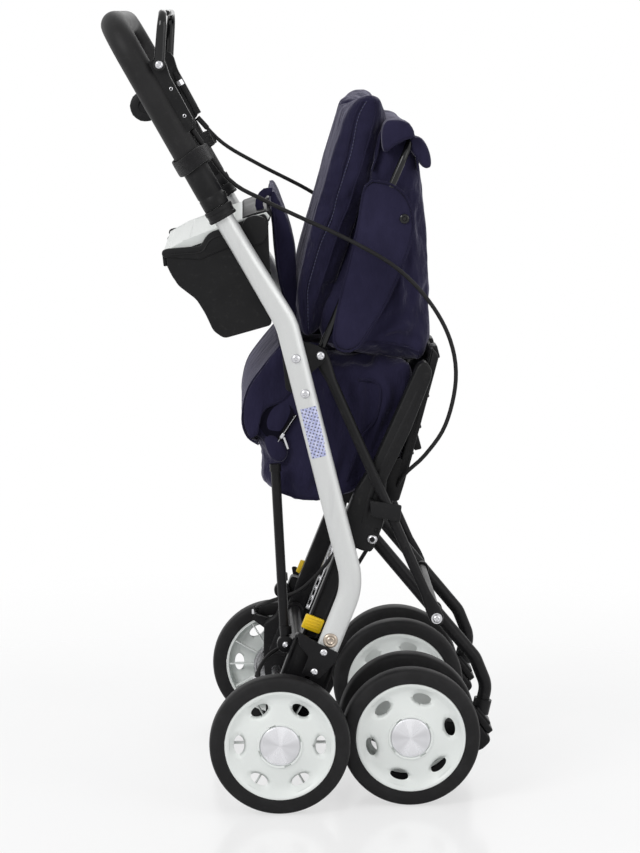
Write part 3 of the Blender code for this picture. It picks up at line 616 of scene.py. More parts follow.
def piece(name, bm, finish, body, node=""):
    """A finished piece that moves with a body."""
    made = object_of(name, bm, finish)
    settle(made, body, node)
    return made


def rounded_edges(made, width, segments=3, angle=32.0):
    """A live bevel on a piece's sharper edges."""
    bevel = made.modifiers.new("rounded_edges", "BEVEL")
    bevel.width = width * MM
    bevel.segments = segments
    bevel.limit_method = "ANGLE"
    bevel.angle_limit = radians(angle)
    bevel.harden_normals = False


def subdivided(made, levels=1):
    """A live subdivision surface."""
    soft = made.modifiers.new("subdivision", "SUBSURF")
    soft.levels = levels
    soft.render_levels = levels


def walled(made, wall, levels=1):
    """A live wall on a sheet, and a smooth surface over it."""
    step = made.modifiers.new("wall", "SOLIDIFY")
    step.thickness = wall * MM
    step.offset = 0.0
    subdivided(made, levels)


def applied(made):
    """Give an object the mesh that its modifiers make."""
    graph = bpy.context.evaluated_depsgraph_get()
    mesh = bpy.data.meshes.new_from_object(made.evaluated_get(graph))
    made.modifiers.clear()
    made.data = mesh


def cut_away(made, *shapes):
    """Cut solids out of an object."""
    tools = [object_of("cutter", shape, tidy=False) for shape in shapes]
    for tool in tools:
        step = made.modifiers.new("cut", "BOOLEAN")
        step.operation = "DIFFERENCE"
        step.object = tool
    applied(made)
    for tool in tools:
        bpy.data.objects.remove(tool, do_unlink=True)


def filled(build, *values):
    """A new bmesh with one shape in it."""
    bm = bmesh.new()
    build(bm, *values)
    return bm


def length_of(name, what, value):
    return bpy.props.FloatProperty(name=name, description=what, default=value, unit="LENGTH")


def angle_of(name, what, value):
    return bpy.props.FloatProperty(name=name, description=what, default=radians(value),
                                   subtype="ANGLE")


def colour_of(name, what, value):
    return bpy.props.FloatVectorProperty(name=name, description=what, subtype="COLOR", size=3,
                                         min=0.0, max=1.0, default=value)


class RollatorSizes(bpy.types.PropertyGroup):
    """Sizes that the pieces share."""

    wheel_radius: length_of("Wheel radius", "From the axle to the tread", 0.085)
    rim_radius: length_of("Rim radius", "Where the rim meets the tyre", 0.0667)
    tyre_width: length_of("Tyre width", "Across the side walls", 0.027)
    hole_length: length_of("Rim hole length", "Long side of the oval holes", 0.0215)
    rim_holes: bpy.props.IntProperty(
        name="Rim holes", description="Oval holes in each rim", default=6)
    tube_width: length_of("Side tube width", "Of the flattened part, seen from the side", 0.027)
    tube_thickness: length_of("Side tube thickness", "Of the flattened part, across", 0.017)
    grip_radius: length_of("Grip radius", "Outside of the foam grip", 0.0165)
    bolt_radius: length_of("Bolt radius", "Of a common button head", 0.0042)
    piping_radius: length_of("Piping radius", "Of the piping along the seams", 0.0016)
    lens: bpy.props.FloatProperty(
        name="Lens", description="Focal length in millimetres", default=121.67)
    camera_distance: length_of("Camera distance", "From the middle plane", 3.599)
    camera_height: length_of("Camera height", "Above the floor", 0.958)
    camera_pitch: angle_of("Camera pitch", "Below the horizon", 8.213)
    camera_yaw: angle_of("Camera yaw", "Towards the front of the rollator", 1.505)


class RollatorColours(bpy.types.PropertyGroup):
    """Colours that the finishes share."""

    navy: colour_of("Navy cloth", "Seat, bag and flaps", (0.021, 0.019, 0.046))
    silver: colour_of("Silver paint", "Side tubes", (0.66, 0.67, 0.665))
    steel: colour_of("Plated steel", "Bolts, axle and hub caps", (0.62, 0.62, 0.64))
    black: colour_of("Black coat", "Painted bars, brackets and tubes", (0.0062, 0.0060, 0.0068))
    gloss: colour_of("Gloss black", "Seat rail and brake levers", (0.0045, 0.0045, 0.0052))
    plastic: colour_of("Black plastic", "Storage box", (0.0085, 0.0085, 0.0092))
    foam: colour_of("Foam", "Handle grip", (0.0095, 0.0092, 0.0098))
    rubber: colour_of("Rubber", "Tyres and cables", (0.0085, 0.0082, 0.0088))
    white: colour_of("White plastic", "Rims and box lid", (0.80, 0.83, 0.81))
    yellow: colour_of("Yellow plastic", "Fold latches", (0.93, 0.62, 0.012))
    bronze: colour_of("Bronze", "Pivot rivets", (0.42, 0.36, 0.30))


def make_finishes(colours):
    """Every finish, by name."""
    FINISHES.update(
        navy=cloth("rollator_navy_cloth", colours.navy),
        navy_piping=cloth("rollator_navy_piping", times(colours.navy, 0.8), 0.0014, 0.2),
        # A much darker navy: painted shade, used for the shadowed opening of the rear pocket.
        navy_shade=cloth("rollator_navy_shade", times(colours.navy, 0.22), 0.0012, 0.1),
        thread=stitching("rollator_thread", (0.05, 0.05, 0.11), (0.3, 0.3, 1.0)),
        silver=scratched_paint("rollator_silver_paint", colours.silver),
        steel=brushed("rollator_zinc_steel", colours.steel),
        bronze=brushed("rollator_bronze", colours.bronze, 0.34),
        black=grained("rollator_black_coat", colours.black, 0.36, 700.0, 0.00003, spread=0.2,
                      dust=0.03, specular=0.16),
        gloss=grained("rollator_gloss_black", colours.gloss, 0.12, 500.0, 0.000006,
                      spread=0.15, specular=0.35),
        plastic=grained("rollator_black_plastic", colours.plastic, 0.42, 1500.0, 0.00007,
                        dust=0.04, specular=0.16),
        foam=grained("rollator_black_foam", colours.foam, 0.5, 1100.0, 0.00016, spread=0.35,
                     dust=0.03, specular=0.22),
        rubber=rubber("rollator_black_rubber", colours.rubber),
        cable=rubber("rollator_cable_rubber", times(colours.rubber, 0.8)),
        white=grained("rollator_white_plastic", colours.white, 0.34, 900.0, 0.00002, spread=0.035),
        yellow=grained("rollator_yellow_plastic", colours.yellow, 0.38, 900.0, 0.00003,
                       spread=0.06),
        cap=hub_cap("rollator_hub_cap", colours.steel),
        tape=reflective("rollator_reflective_tape"),
        strap=looped_strap("rollator_strap", colours.black),
        webbing=cloth("rollator_webbing", colours.black, 0.0016, 0.1),
    )
    FINISHES["stud"] = FINISHES["gloss"]


class StageOperator(bpy.types.Operator):
    """Camera, floor, pale surroundings and lamps."""

    bl_idname = "rollator.stage"
    bl_label = "Stage"

    def execute(self, context):
        sizes = context.scene.rollator_sizes
        data = bpy.data.cameras.new("camera")
        data.lens = sizes.lens
        camera = bpy.data.objects.new("camera", data)
        camera.location = (-0.0674, -sizes.camera_distance, sizes.camera_height)
        camera.rotation_euler = (pi / 2 - sizes.camera_pitch, 0.0, -sizes.camera_yaw)
        context.scene.collection.objects.link(camera)
        context.scene.camera = camera
        context.scene.view_settings.view_transform = "Standard"
        make_world()
        make_floor()
        add_lamp("key_lamp", (-1.9, -2.4, 2.3), 0.45, 1.4, 44.0)
        add_lamp("fill_lamp", (2.3, -2.0, 1.5), 0.5, 1.8, 16.0)
        add_lamp("back_lamp", (0.4, 2.2, 2.4), 0.6, 1.8, 20.0)
        make_finishes(context.scene.rollator_colours)
        return {"FINISHED"}


def add_lamp(name, place, aim, width, power):
    """A square lamp that looks at a height on the object's middle line."""
    data = bpy.data.lights.new(name, "AREA")
    data.shape = "SQUARE"
    data.size = width
    data.energy = power
    lamp = bpy.data.objects.new(name, data)
    lamp.location = place
    turn = (Vector((0.0, 0.0, aim)) - Vector(place)).to_track_quat("-Z", "Y")
    lamp.rotation_euler = turn.to_euler()
    bpy.context.scene.collection.objects.link(lamp)


def make_world():
    """White where it is seen, straight or in a reflection, and a softer grey as light."""
    world = bpy.data.worlds.new("surroundings")
    world.use_nodes = True
    tree = world.node_tree
    ray = tree.nodes.new("ShaderNodeLightPath")
    camera, glossy, clear = (Wire(tree, ray.outputs[f"Is {kind} Ray"])
                             for kind in ("Camera", "Glossy", "Transmission"))
    seen = (camera + glossy + clear).math("GREATER_THAN", 0.5)
    back = tree.nodes["Background"]
    tree.links.new((seen * 0.45 + 0.55).socket, back.inputs["Strength"])
    back.inputs["Color"].default_value = (1.0, 1.0, 1.0, 1.0)
    bpy.context.scene.world = world


def make_floor():
    """A pale glossy floor, white as seen, that keeps its shadow and fades out further off."""
    bm = bmesh.new()
    bmesh.ops.create_circle(bm, cap_ends=True, segments=64, radius=2.6)
    bmesh.ops.translate(bm, vec=(0, 0, -0.0004), verts=bm.verts)
    finish = Finish("floor_white", 0.16)
    start, tree = finish.start, finish.start.tree
    finish.feed(Base_Color=mixed(finish.noise(3.0).clamped(0.3, 0.7), (0.93, 0.93, 0.94),
                                 (0.97, 0.97, 0.975)))
    seen = start.node("LightPath", output="Is Camera Ray") * 0.62
    painted = Wire(tree, finish.shader.outputs[0])
    lifted_white = start.node("MixShader", {0: seen, 1: painted, 2: start.node("Emission")})
    final = start.node("MixShader", {0: finish.place.length().clamped(0.5, 1.3), 1: lifted_white,
                                     2: start.node("BsdfTransparent")})
    tree.links.new(final.socket, tree.nodes["Material Output"].inputs["Surface"])
    floor = object_of("floor", bm, tidy=False)
    floor.data.materials.append(finish.material)


def tyre_profile(sizes):
    """Half section of a tyre as (radius, distance along the axle), a closed loop."""
    outer, rim, half = sizes.wheel_radius / MM, sizes.rim_radius / MM + 0.3, sizes.tyre_width / MM / 2
    side = [(rim, half - 1.2), (rim + 0.9, half - 0.2), (rim + 5, half), (outer - 6.5, half - 0.4),
            (outer - 3.4, half - 1.1), (outer - 2.2, half - 1.9), (outer - 1.5, half - 3.0),
            (outer - 0.6, half - 5.2), (outer - 0.15, half - 8.5), (outer, half - 12.5)]
    return side + [(r, -h) for r, h in reversed(side)]


def rim_profile(sizes):
    """Half section of a dished rim, outer face first, a closed loop round its hub bore."""
    rim, face = sizes.rim_radius / MM, sizes.tyre_width / MM / 2
    # Distances in from the rim's edge and down from the tyre's side
    front = [(0, 1.5), (0.5, 0.9), (1.9, 0.8), (3.3, 1.3), (5.6, 3.1), (8.8, 5.3), (12.5, 6.3),
             (17.5, 6.2), (25, 5.0), (32, 3.6), (37.6, 2.6), (38.9, 2.2), (39.4, 1.2), (40.0, 0.7),
             (41.4, 0.7), (42.0, 1.2), (42.2, 3.4)]
    back = [(25, 8.0), (17.5, 9.2), (11.5, 9.2), (6.8, 7.5), (4.0, 5.2), (3.2, 8.0)]
    return ([(rim, -face + 0.8)] + [(rim - r, face - h) for r, h in front]
            + [(11.0, face - 3.4), (11.0, -face + 1.0), (14.5, -face + 1.0), (15.5, face - 7.0)]
            + [(rim - r, face - h) for r, h in back] + [(rim - 3.0, -face + 0.8)])


def rim_hole(sizes, turn):
    """A flared oval through a rim's web, its long axis along the rim."""
    bm = bmesh.new()
    wide = sizes.hole_length / MM
    lathe(bm, [(0, 10), (0.53 * wide, 10), (0.27 * wide, 4.4), (0.27 * wide, -10), (0, -10)],
          Matrix.Identity(4))
    bmesh.ops.scale(bm, vec=(1, 1.95, 1), verts=bm.verts)
    bmesh.ops.translate(bm, vec=(0.0495, 0, 0), verts=bm.verts)
    bmesh.ops.rotate(bm, verts=bm.verts, matrix=Matrix.Rotation(turn, 3, "Z"))
    return bm


def wheel_patterns(sizes):
    """The tyre, rim and hub cap about the origin, their axle along Z and outer face up."""
    home = Matrix.Identity(4)
    tyre = object_of("tyre", filled(lathe, tyre_profile(sizes), home, 112, True), "rubber")
    rim = object_of("rim", filled(lathe, rim_profile(sizes), home, 96, True), "white", 34.0)
    cut_away(rim, *(rim_hole(sizes, 2 * pi * i / sizes.rim_holes) for i in range(sizes.rim_holes)))
    cut_away(rim, *(filled(block, (1.7, 8.0, 6.0), Matrix.Rotation(0.9 + turn * pi / 2, 4, "Z")
                           @ Matrix.Translation((25.6 * MM, 0, 12.5 * MM))) for turn in range(4)))
    top = sizes.tyre_width / MM / 2 - 0.9
    profile = [(0, top), (8, top - 0.05), (16, top - 0.25), (21, top - 0.6), (23.4, top - 1.0),
               (24.1, top - 1.6), (24.2, top - 3.2), (0, top - 3.2)]
    cap = object_of("cap", filled(lathe, profile, home, 72), "cap")
    layer = cap.data.uv_layers.new(name="planar")
    for loop in cap.data.loops:
        spot = cap.data.vertices[loop.vertex_index].co
        layer.data[loop.index].uv = (spot.x, spot.y)
    return {"tyre": (tyre, "rubber"), "rim": (rim, "white"), "cap": (cap, "cap")}


class WheelsOperator(bpy.types.Operator):
    """Tyres, rims and hub caps of the rear wheels and of both casters."""

    bl_idname = "rollator.wheels"
    bl_label = "Wheels"

    def execute(self, context):
        sizes = context.scene.rollator_sizes
        patterns = wheel_patterns(sizes)
        for name, body, outward in WHEELS:
            x = sum(corner[0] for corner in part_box(name + "_rim")) / 2
            y = sum(corner[1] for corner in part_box(name + "_tyre")) / 2
            rear = name.startswith("rear")
            place = (Matrix.Translation((x, y, sizes.wheel_radius))
                     @ Matrix.Rotation(-outward * pi / 2, 4, "X")
                     @ Matrix.Rotation(radians(59.5 if rear else 74.0), 4, "Z"))
            for what, (pattern, finish) in patterns.items():
                made = bpy.data.objects.new(f"{name}_{what}_look", pattern.data.copy())
                made.data.transform(place)
                context.scene.collection.objects.link(made)
                settle(made, body, None if what == "cap" else "")
            if rear:
                brake_drum(name, body, facing(AXLE, outward, outward * y / MM),
                           -sizes.tyre_width / MM / 2)
        for pattern, _ in patterns.values():
            bpy.data.objects.remove(pattern, do_unlink=True)
        return {"FINISHED"}


def brake_drum(name, body, place, back):
    """The steel drum on a rear wheel's inner side, with the rim's ribs round it."""
    bm = bmesh.new()
    lathe(bm, [(12, back + 8), (27.5, back + 8), (28.3, back + 1), (30, back), (30, back - 11.6),
               (29.2, back - 12.8), (26.8, back - 12.8), (26.3, back - 11), (26, back - 3),
               (12, back - 2)], place, 72, True)
    piece(name + "_drum", bm, "steel", body)
    bm = bmesh.new()
    outwards = Matrix.Translation((46.5 * MM, 0, (back + 5.6) * MM))
    for turn in range(12):
        block(bm, (32, 1.6, 9), place @ Matrix.Rotation(2 * pi * turn / 12, 4, "Z") @ outwards)
    rounded_edges(piece(name + "_ribs", bm, "white", body), 0.4, 2)


class BaseOperator(bpy.types.Operator):
    """Axle, base bars with their covers and catches, brackets, latches, struts and tray."""

    bl_idname = "rollator.base"
    bl_label = "Base"

    def execute(self, context):
        bolt_radius = context.scene.rollator_sizes.bolt_radius / MM
        bm = bmesh.new()
        for way in (-1, 1):
            lathe(bm, [(0, 228), (4.6, 228), (5.8, 226.8), (6, 190), (6, 0)], facing(AXLE, way))
        piece("axle_look", bm, "steel", "axle", "rear_axle")
        for label, side in SIDES:
            base_bar(label, side)
            bar_cover(label, side)
            axle_bracket(label, side, bolt_radius)
            fold_latch(label, side)
            bag_strut(label, side)
            brake_arm(label, side)
        base_middle()
        return {"FINISHED"}


def base_bar(label, side):
    """The bar with its sunk outer face, and the slotted strip on its front edge."""
    length = hypot(BAR_TOP[0] - BAR_FOOT[0], BAR_TOP[1] - BAR_FOOT[1])
    outline = on_bar((0, -11), (0, 11), (length, 11), (length, -11))
    bm = side_plate(outline, 0, side, 153, 171, 1.6, 3, panel=(5.0, 1.4))
    piece(f"base_bar_{label}_look", bm, "black", "base")
    strip = on_bar((72, 11.6), (72, 17.6), (188, 17.6), (188, 11.6))
    made = object_of("slotted_strip_" + label,
                     side_plate(strip, 0, side, 150.6, 153.2, 0.4, 1), "steel")
    slots = (on_bar((s, 13.3), (s, 15.9), (s + 7, 15.9), (s + 7, 13.3))
             for s in range(78, 190, 14))
    cut_away(made, *(filled(plate, round_corners(slot, 1.2), 148, 156, side) for slot in slots))
    settle(made, "base")


def bar_cover(label, side):
    """The moulded upper cover with its ridge and screw, and the catch for the fold link."""
    shell = [(166, 536), (171, 541), (178, 541), (184, 531), (183, 521), (157.5, 455),
             (130, 398), (127, 347), (118, 322), (111.6, 309), (98, 312), (74, 326),
             (74, 341), (93, 386), (115, 421)]
    bm = side_plate(shell, 5.0, side, 150.2, 175, 3.2, 4)
    piece(f"bar_cover_{label}_look", bm, "plastic", "base")
    catch = [(108.7, 376), (147.3, 370), (144.9, 349.5), (111, 356.8)]
    bm = side_plate(catch, 2.0, side, 188.6, 192.6, 1.0)
    plate(bm, [(108.7, 376), (113.2, 375.4), (114.8, 356.2), (111, 356.8)], 173.5, 189.4, side)
    piece("catch_" + label, bm, "plastic", "base")
    bm = bmesh.new()
    ridge = [(102, 174.6, 345), (111, 174.9, 380), (128, 174.9, 420), (150, 174.9, 466),
             (168, 174.6, 505)]
    sweep(bm, smooth_path([(x, side * y, z) for x, y, z in ridge], 12), (3.4, 1.2), 10)
    bolt(bm, (118, 336), side, 174.6, 3.2, 1.8)
    piece("cover_ridge_" + label, bm, "plastic", "base")


def axle_bracket(label, side, bolt_radius):
    """The moulded bracket with its cheek, bolts, hollow pivot rivet and the brake's pin."""
    shape = [(20.6, 213), (45, 204), (53, 202), (55, 219), (62, 222), (72, 217), (76, 206),
             (72, 190), (66, 168), (45, 115), (16, 70), (-14, 70), (-17, 98), (-16, 148),
             (0, 158), (8, 180)]
    bm = side_plate(shape, 4.0, side, 171.4, 191.2, 1.6, 3, panel=(3.2, 1.6))
    pivot = facing(FRAME_PIVOT, side)
    lathe(bm, [(0, 190), (8, 190), (8, 208.6), (7.4, 209.2), (0, 209.2)], pivot)
    piece(f"axle_bracket_{label}_look", bm, "black", "base")
    bm = bmesh.new()
    for point in ((53, 189), (41, 165)):
        bolt(bm, point, side, 191.0, bolt_radius * 1.2, 3.4)
    bolt(bm, AXLE, -side, -171.6, 6.6, 4.2)
    bolt(bm, (7.8, 195.6), side, 170.8, bolt_radius, 3.0)
    for point in ((52.9, 194.4), (41.4, 170.7)):
        bolt(bm, point, side, 211.2, bolt_radius, 1.8)
    piece("bracket_bolts_" + label, bm, "steel", "base")
    cheek = [(21.3, 217.6), (26.2, 218.4), (47.5, 205.2), (71.1, 193.8), (65.7, 180.6),
             (46.6, 161.5), (26, 167.5), (34.9, 189), (23.8, 203.3)]
    bm = side_plate(cheek, 3.0, side, 209.5, 211.3, 0.6)
    rod(bm, 6.5, 189, 209.8, facing((38, 173), side), 24)
    piece("bracket_cheek_" + label, bm, "black", "base")
    profile = [(0, 209.9), (2.2, 210.1), (3.4, 211.0), (4.6, 210.4), (5.2, 209.8), (6.6, 210.4),
               (8.2, 209.9), (8.9, 209.0), (9.0, 207.4), (0, 207.0)]
    piece("pivot_rivet_" + label, filled(lathe, profile, pivot, 40), "bronze", "base")
    bm = filled(rod, 4, 190, 204.4, facing(BRAKE_PIVOT, side), 24)
    nut(bm, BRAKE_PIVOT, side, 204.2, 8.0, 3.0)
    piece("brake_pin_" + label, bm, "steel", "base")


def fold_latch(label, side):
    outline = on_bar((109, -16), (109, 8), (127, 8), (127, -16))
    bm = side_plate(outline, 2.0, side, 171.3, 176.0, 0.9)
    for step in range(4):
        s = 112.5 + step * 3.6
        rib = on_bar((s, -12), (s, 4), (s + 1.3, 4), (s + 1.3, -12))
        plate(bm, rib, 175.6, 176.6, side, 0.3, 1)
    piece(f"fold_latch_{label}_look", bm, "yellow", "latch_" + label)


def bag_strut(label, side):
    """The thin strut behind the bag, with its round foot and its end sleeves."""
    bm = bmesh.new()
    sweep(bm, lifted([(7.7, 190), (1.75, 302), (-4.2, 415.5)], side * 165), 5.8, 28)
    plate(bm, arc((7.8, 195.6), 10.5, 0, 345, 23), 158.5, 171.0, side, 1.4)
    sweep(bm, lifted([(8.3, 208), (7.7, 218)], side * 165), 7.4, 28)
    sweep(bm, lifted([(-3.9, 408), (-4.3, 417)], side * 165), 6.9, 28)
    piece(f"bag_strut_{label}_look", bm, "black", "base")


def brake_arm(label, side):
    """The arm with its shoe on the drum, and the cable's end in it."""
    arm = arc(AXLE, 33.5, 35, 88, 14) + [(-8, 126), (-15, 137), (-31, 149), (-29, 157),
                                         (-12, 152), (-3, 150), (6, 146), (34, 118)]
    bm = side_plate(arm, 0, side, 193.2, 203.8, 0.8)
    piece(f"brake_arm_{label}_look", bm, "black", "brake_" + label)
    profile = [(0, -1.6), (3.1, -1.6), (3.1, 3.2), (2.2, 4.2), (0, 4.2)]
    bm = filled(lathe, profile, tilted(-29.4, side * 198, 158), 20)
    piece("cable_end_" + label, bm, "steel", "brake_" + label)


def base_middle():
    """The cross tube, and the tray with its cross ribs and stops."""
    bm = bmesh.new()
    sweep(bm, [(24, y, 170) for y in (-152.4, 0, 152.4)], 8.0, 32, up=(0, 0, 1))
    for way in (-1, 1):
        lathe(bm, [(8, 146), (11, 146), (12, 147.2), (12, 151.4), (11, 152.6), (8, 152.6)],
              facing((24, 170), way), 36, True)
    piece("base_cross_tube_look", bm, "black", "base")
    tray = [(185, 556), (194, 545), (156, 400), (144, 404)]
    bm = side_plate(tray, 4.0, 1, -149.7, 149.7, 2.2, 3)
    for x, z, deep in ((190, 548, 9), (178, 500, 8), (168, 462, 9), (160, 430, 7)):
        for y in (-118, -40, 40, 118):
            block(bm, (deep, 34, 16), tilted(x, y, z, TRAY_TILT), 1.6)
    piece("base_tray_look", bm, "plastic", "base")
    bm = bmesh.new()
    stop = [(131, 423), (160, 418), (153, 391), (146, 368), (125, 368)]
    for side in (-1, 1):
        plate(bm, round_corners(stop, 3.0), 138.5, 149.6, side, 1.4)
        block(bm, (9, 30, 21), tilted(167, side * 128, 440, TRAY_TILT), 1.6)
    piece("tray_stops", bm, "plastic", "base")


class FrameOperator(bpy.types.Operator):
    """Side tubes with bolts, reflective strips and collars, their pivot brackets, cross tube."""

    bl_idname = "rollator.frame"
    bl_label = "Frame"

    def execute(self, context):
        sizes = context.scene.rollator_sizes
        halves = (sizes.tube_width / MM / 2, sizes.tube_thickness / MM / 2)
        for label, side in SIDES:
            side_tube(label, side, *halves)
            reflective_strip(label, side, *halves)
            frame_fittings(label, side)
        bm = bmesh.new()
        sweep(bm, [(20.2, y, 549.7) for y in (-188, 0, 188)], 8.0, 32, up=(0, 0, 1))
        piece("frame_cross_tube_look", bm, "black", "frame")
        return {"FINISHED"}


def side_tube(label, side, wide, thick):
    """The tube, round at its top and oval lower down, and the bolts on it."""
    bends = (on_handle(HANDLE_RUN - 150), COLLAR_AT, UPPER_BEND, KNEE_BEND, TUBE_END)
    path = dense(rounded(lifted(bends, side * TUBE_Y), 75.0, 14), 9.0)
    rings = []
    for point in path:
        flat = min(1.0, max(0.0, (690.0 - point.z) / 100.0))
        flat = flat * flat * (3 - 2 * flat)
        rings.append((12.0 + (wide - 12.0) * flat, 12.0 + (thick - 12.0) * flat))
    run, (last_wide, last_thick) = (path[-1] - path[-2]).normalized(), rings[-1]
    path += [path[-1] + run * 1.2, path[-1] + run * 2.0]
    rings += [(last_wide - 0.5, last_thick - 0.5), (last_wide - 1.6, last_thick - 1.6)]
    made = object_of(f"side_tube_{label}_look", filled(sweep, path, rings, 40), "silver")
    cut_away(made, filled(rod, 8.3, 180, 220, facing(FRAME_PIVOT, side)))
    settle(made, "frame")
    bm = bmesh.new()
    for spot in ((20.2, 549.7), (31.0, 507.7)):
        lathe(bm, [(0, thick + 1.9), (2.0, thick + 1.9), (2.4, thick + 2.9), (4.2, thick + 2.5),
                   (5.4, thick + 1.2), (5.7, thick - 0.4), (0, thick - 0.6)],
              facing(spot, side, TUBE_Y), 28)
        block(bm, (6.4, 0.8, 1.4), tilted(spot[0], side * (TUBE_Y + thick + 2.6), spot[1]))
    piece("tube_bolts_" + label, bm, "steel", "frame")


def reflective_strip(label, side, wide, thick):
    """A strip of tape that lies on the outer curve of the side tube."""
    bm = bmesh.new()
    first, last, width = Vector((34.5, 491.0)), Vector((48.5, 431.5)), 19.2
    grid = bmesh.ops.create_grid(bm, x_segments=24, y_segments=10, size=0.5)["verts"]
    run = (last - first).normalized()
    aside = Vector((-run.y, run.x))
    for vert in grid:
        across = vert.co.y * width
        spot = first.lerp(last, vert.co.x + 0.5) + aside * across
        curve_out = thick * (1 - (across / wide) ** 2) ** 0.5
        vert.co = at(spot.x, side * (TUBE_Y + curve_out + 0.35), spot.y)
    piece("reflective_strip_" + label, bm, "tape", "frame")


def frame_fittings(label, side):
    """The pivot bracket on the tube's inner side, its bolt, and the collar at the tube's top."""
    shape = [(3, 566), (8, 575), (44, 564), (55, 558), (57, 549), (50, 540), (36, 528),
             (20, 505), (8, 510)]
    bm = side_plate(round_corners(shape, 4.0, 4), 0, side, 187.4, 191.2, 0.7)
    lathe(bm, [(0, 152.6), (3.5, 152.6), (4, 153.2), (4, 188), (0, 188)],
          facing(LINK_PIVOT, side), 24)
    piece(f"link_bracket_{label}_look", bm, "black", "frame")
    bm = bmesh.new()
    bolt(bm, LINK_PIVOT, side, 191.0, 5.4, 3.4)
    nut(bm, LINK_PIVOT, -side, -153.2, 8.0, 3.4)
    piece("link_pivot_bolt_" + label, bm, "steel", "frame")
    profile = [(12.4, -7.5), (16.6, -7.5), (17.5, -6.6), (17.5, -2.4), (16.8, -1.9), (16.8, 3.4),
               (17.5, 4.0), (17.5, 6.6), (16.6, 7.5), (12.4, 7.5)]
    bm = filled(lathe, profile, handle_place(HANDLE_RUN, side), 48, True)
    piece(f"collar_{label}_look", bm, "plastic", "frame")


class HandleOperator(bpy.types.Operator):
    """Handle tube, foam grip, straps, lever brackets with adjusters, and the height knob."""

    bl_idname = "rollator.handle"
    bl_label = "Handle"

    def execute(self, context):
        for label, side in SIDES:
            handle_sleeve(label, side)
            lever_bracket(label, side)
            rough_strap(label, side)
        foam_grip(context.scene.rollator_sizes.grip_radius / MM)
        knob_clamp()
        height_knob()
        return {"FINISHED"}


def handle_sleeve(label, side):
    """The sleeve at the lower end of the handle tube, with its tab."""
    place = handle_place(HANDLE_RUN - 65.8, side)
    profile = [(12.4, 58), (15.2, 58), (15.8, 57.2), (15.8, 44), (15.2, 43.2), (15.2, 41.6),
               (15.8, 40.8), (15.8, 2.0), (15.2, 0.6), (14.2, -2.4), (14.2, -8), (12.4, -8)]
    bm = filled(lathe, profile, place, 48, True)
    block(bm, (3.4, 5.0, 7.0), place @ Matrix.Translation((-15.6 * MM, 0, 49 * MM)))
    piece("handle_sleeve_" + label, bm, "plastic", "handle", "handle_tube")


def foam_grip(radius):
    end = on_handle(HANDLE_RUN - 68.8)
    corners = lifted((end, GRIP_TOP), -TUBE_Y) + lifted((GRIP_TOP, end), TUBE_Y)
    path = dense(rounded(corners, 45.0, 14), 12.0)
    rings = [(radius, radius)] * len(path)
    rings[0] = rings[-1] = (radius - 1.2, radius - 1.2)
    piece("handle_grip_look", filled(sweep, path, rings, 40), "foam", "handle")


def lever_bracket(label, side):
    """The clamp on the handle tube, the cable's adjuster and the lever's bolt."""
    upper, lower = BRACKET_SPAN
    spots = ((upper, 8), (upper, 29), (upper + 9, 32), (84, 28), (lower - 10, 27), (lower, 20),
             (lower, 8))
    shape = round_corners([on_handle(*spot) for spot in spots], 4.0, 4)
    bm = filled(plate, shape, 190.7, 209.0, side)
    made = object_of(f"lever_bracket_{label}_look", bm, "plastic")
    cut_away(made, filled(rod, 16.6, -75, 75, handle_place(110, side), 48))
    rounded_edges(made, 1.8)
    settle(made, "handle")
    bm, nuts = bmesh.new(), bmesh.new()
    for work, first, length, radius, sides in (
            (bm, 85, 7, 3.2, 20), (bm, 92, 5, 4.4, 20), (bm, 104, 34, 3.6, 20),
            (bm, 138, 9, 4.6, 20), (nuts, 97, 7, 4.8, 6)):
        line = (on_handle(first, 22.7), on_handle(first + length, 22.7))
        sweep(work, lifted(line, side * 190.5), radius, sides)
    piece("cable_adjuster_" + label, bm, "plastic", "handle")
    pivot = on_handle(*LEVER_AT)
    rod(nuts, 3, 209.2, 218.3, facing(pivot, side), 20)
    bolt(nuts, pivot, side, 218.2, 5.0, 3.0)
    bolt(nuts, on_handle(upper + 40, 22), side, 208.0, 2.6, 1.6)
    bolt(nuts, on_handle(lower - 18, 20), side, 208.0, 2.6, 1.6)
    piece("lever_bolts_" + label, nuts, "steel", "handle")


def rough_strap(label, side):
    """The rough strap round the grip below the lever bracket, with its loose end."""
    loop = []
    for turn in (radians(a) for a in range(0, 361, 10)):
        out = 19.4 + 0.5 * sin(3 * turn + side)
        stretch = 1.0 + 0.12 * max(0.0, cos(turn)) ** 3
        loop.append((out * stretch * cos(turn), out * sin(turn), 182.0 + 1.6 * sin(2 * turn)))
    loop += [(23.5, -7.0 * side, 181.2), (26.0, -11.0 * side, 182.2)]
    edge = []
    for front, aside, low in loop:
        x, z = on_handle(low - 10.0, front)
        edge.append(at(x, side * TUBE_Y + aside, z))
    bm = woven(edge, handle_place(0).to_3x3() @ Vector((0, 0, 5.0 * MM)), 4)
    bmesh.ops.recalc_face_normals(bm, faces=bm.faces)
    made = object_of("rough_strap_" + label, bm, "strap", 60.0, tidy=False)
    walled(made, 2.2, 2)
    settle(made, "handle")


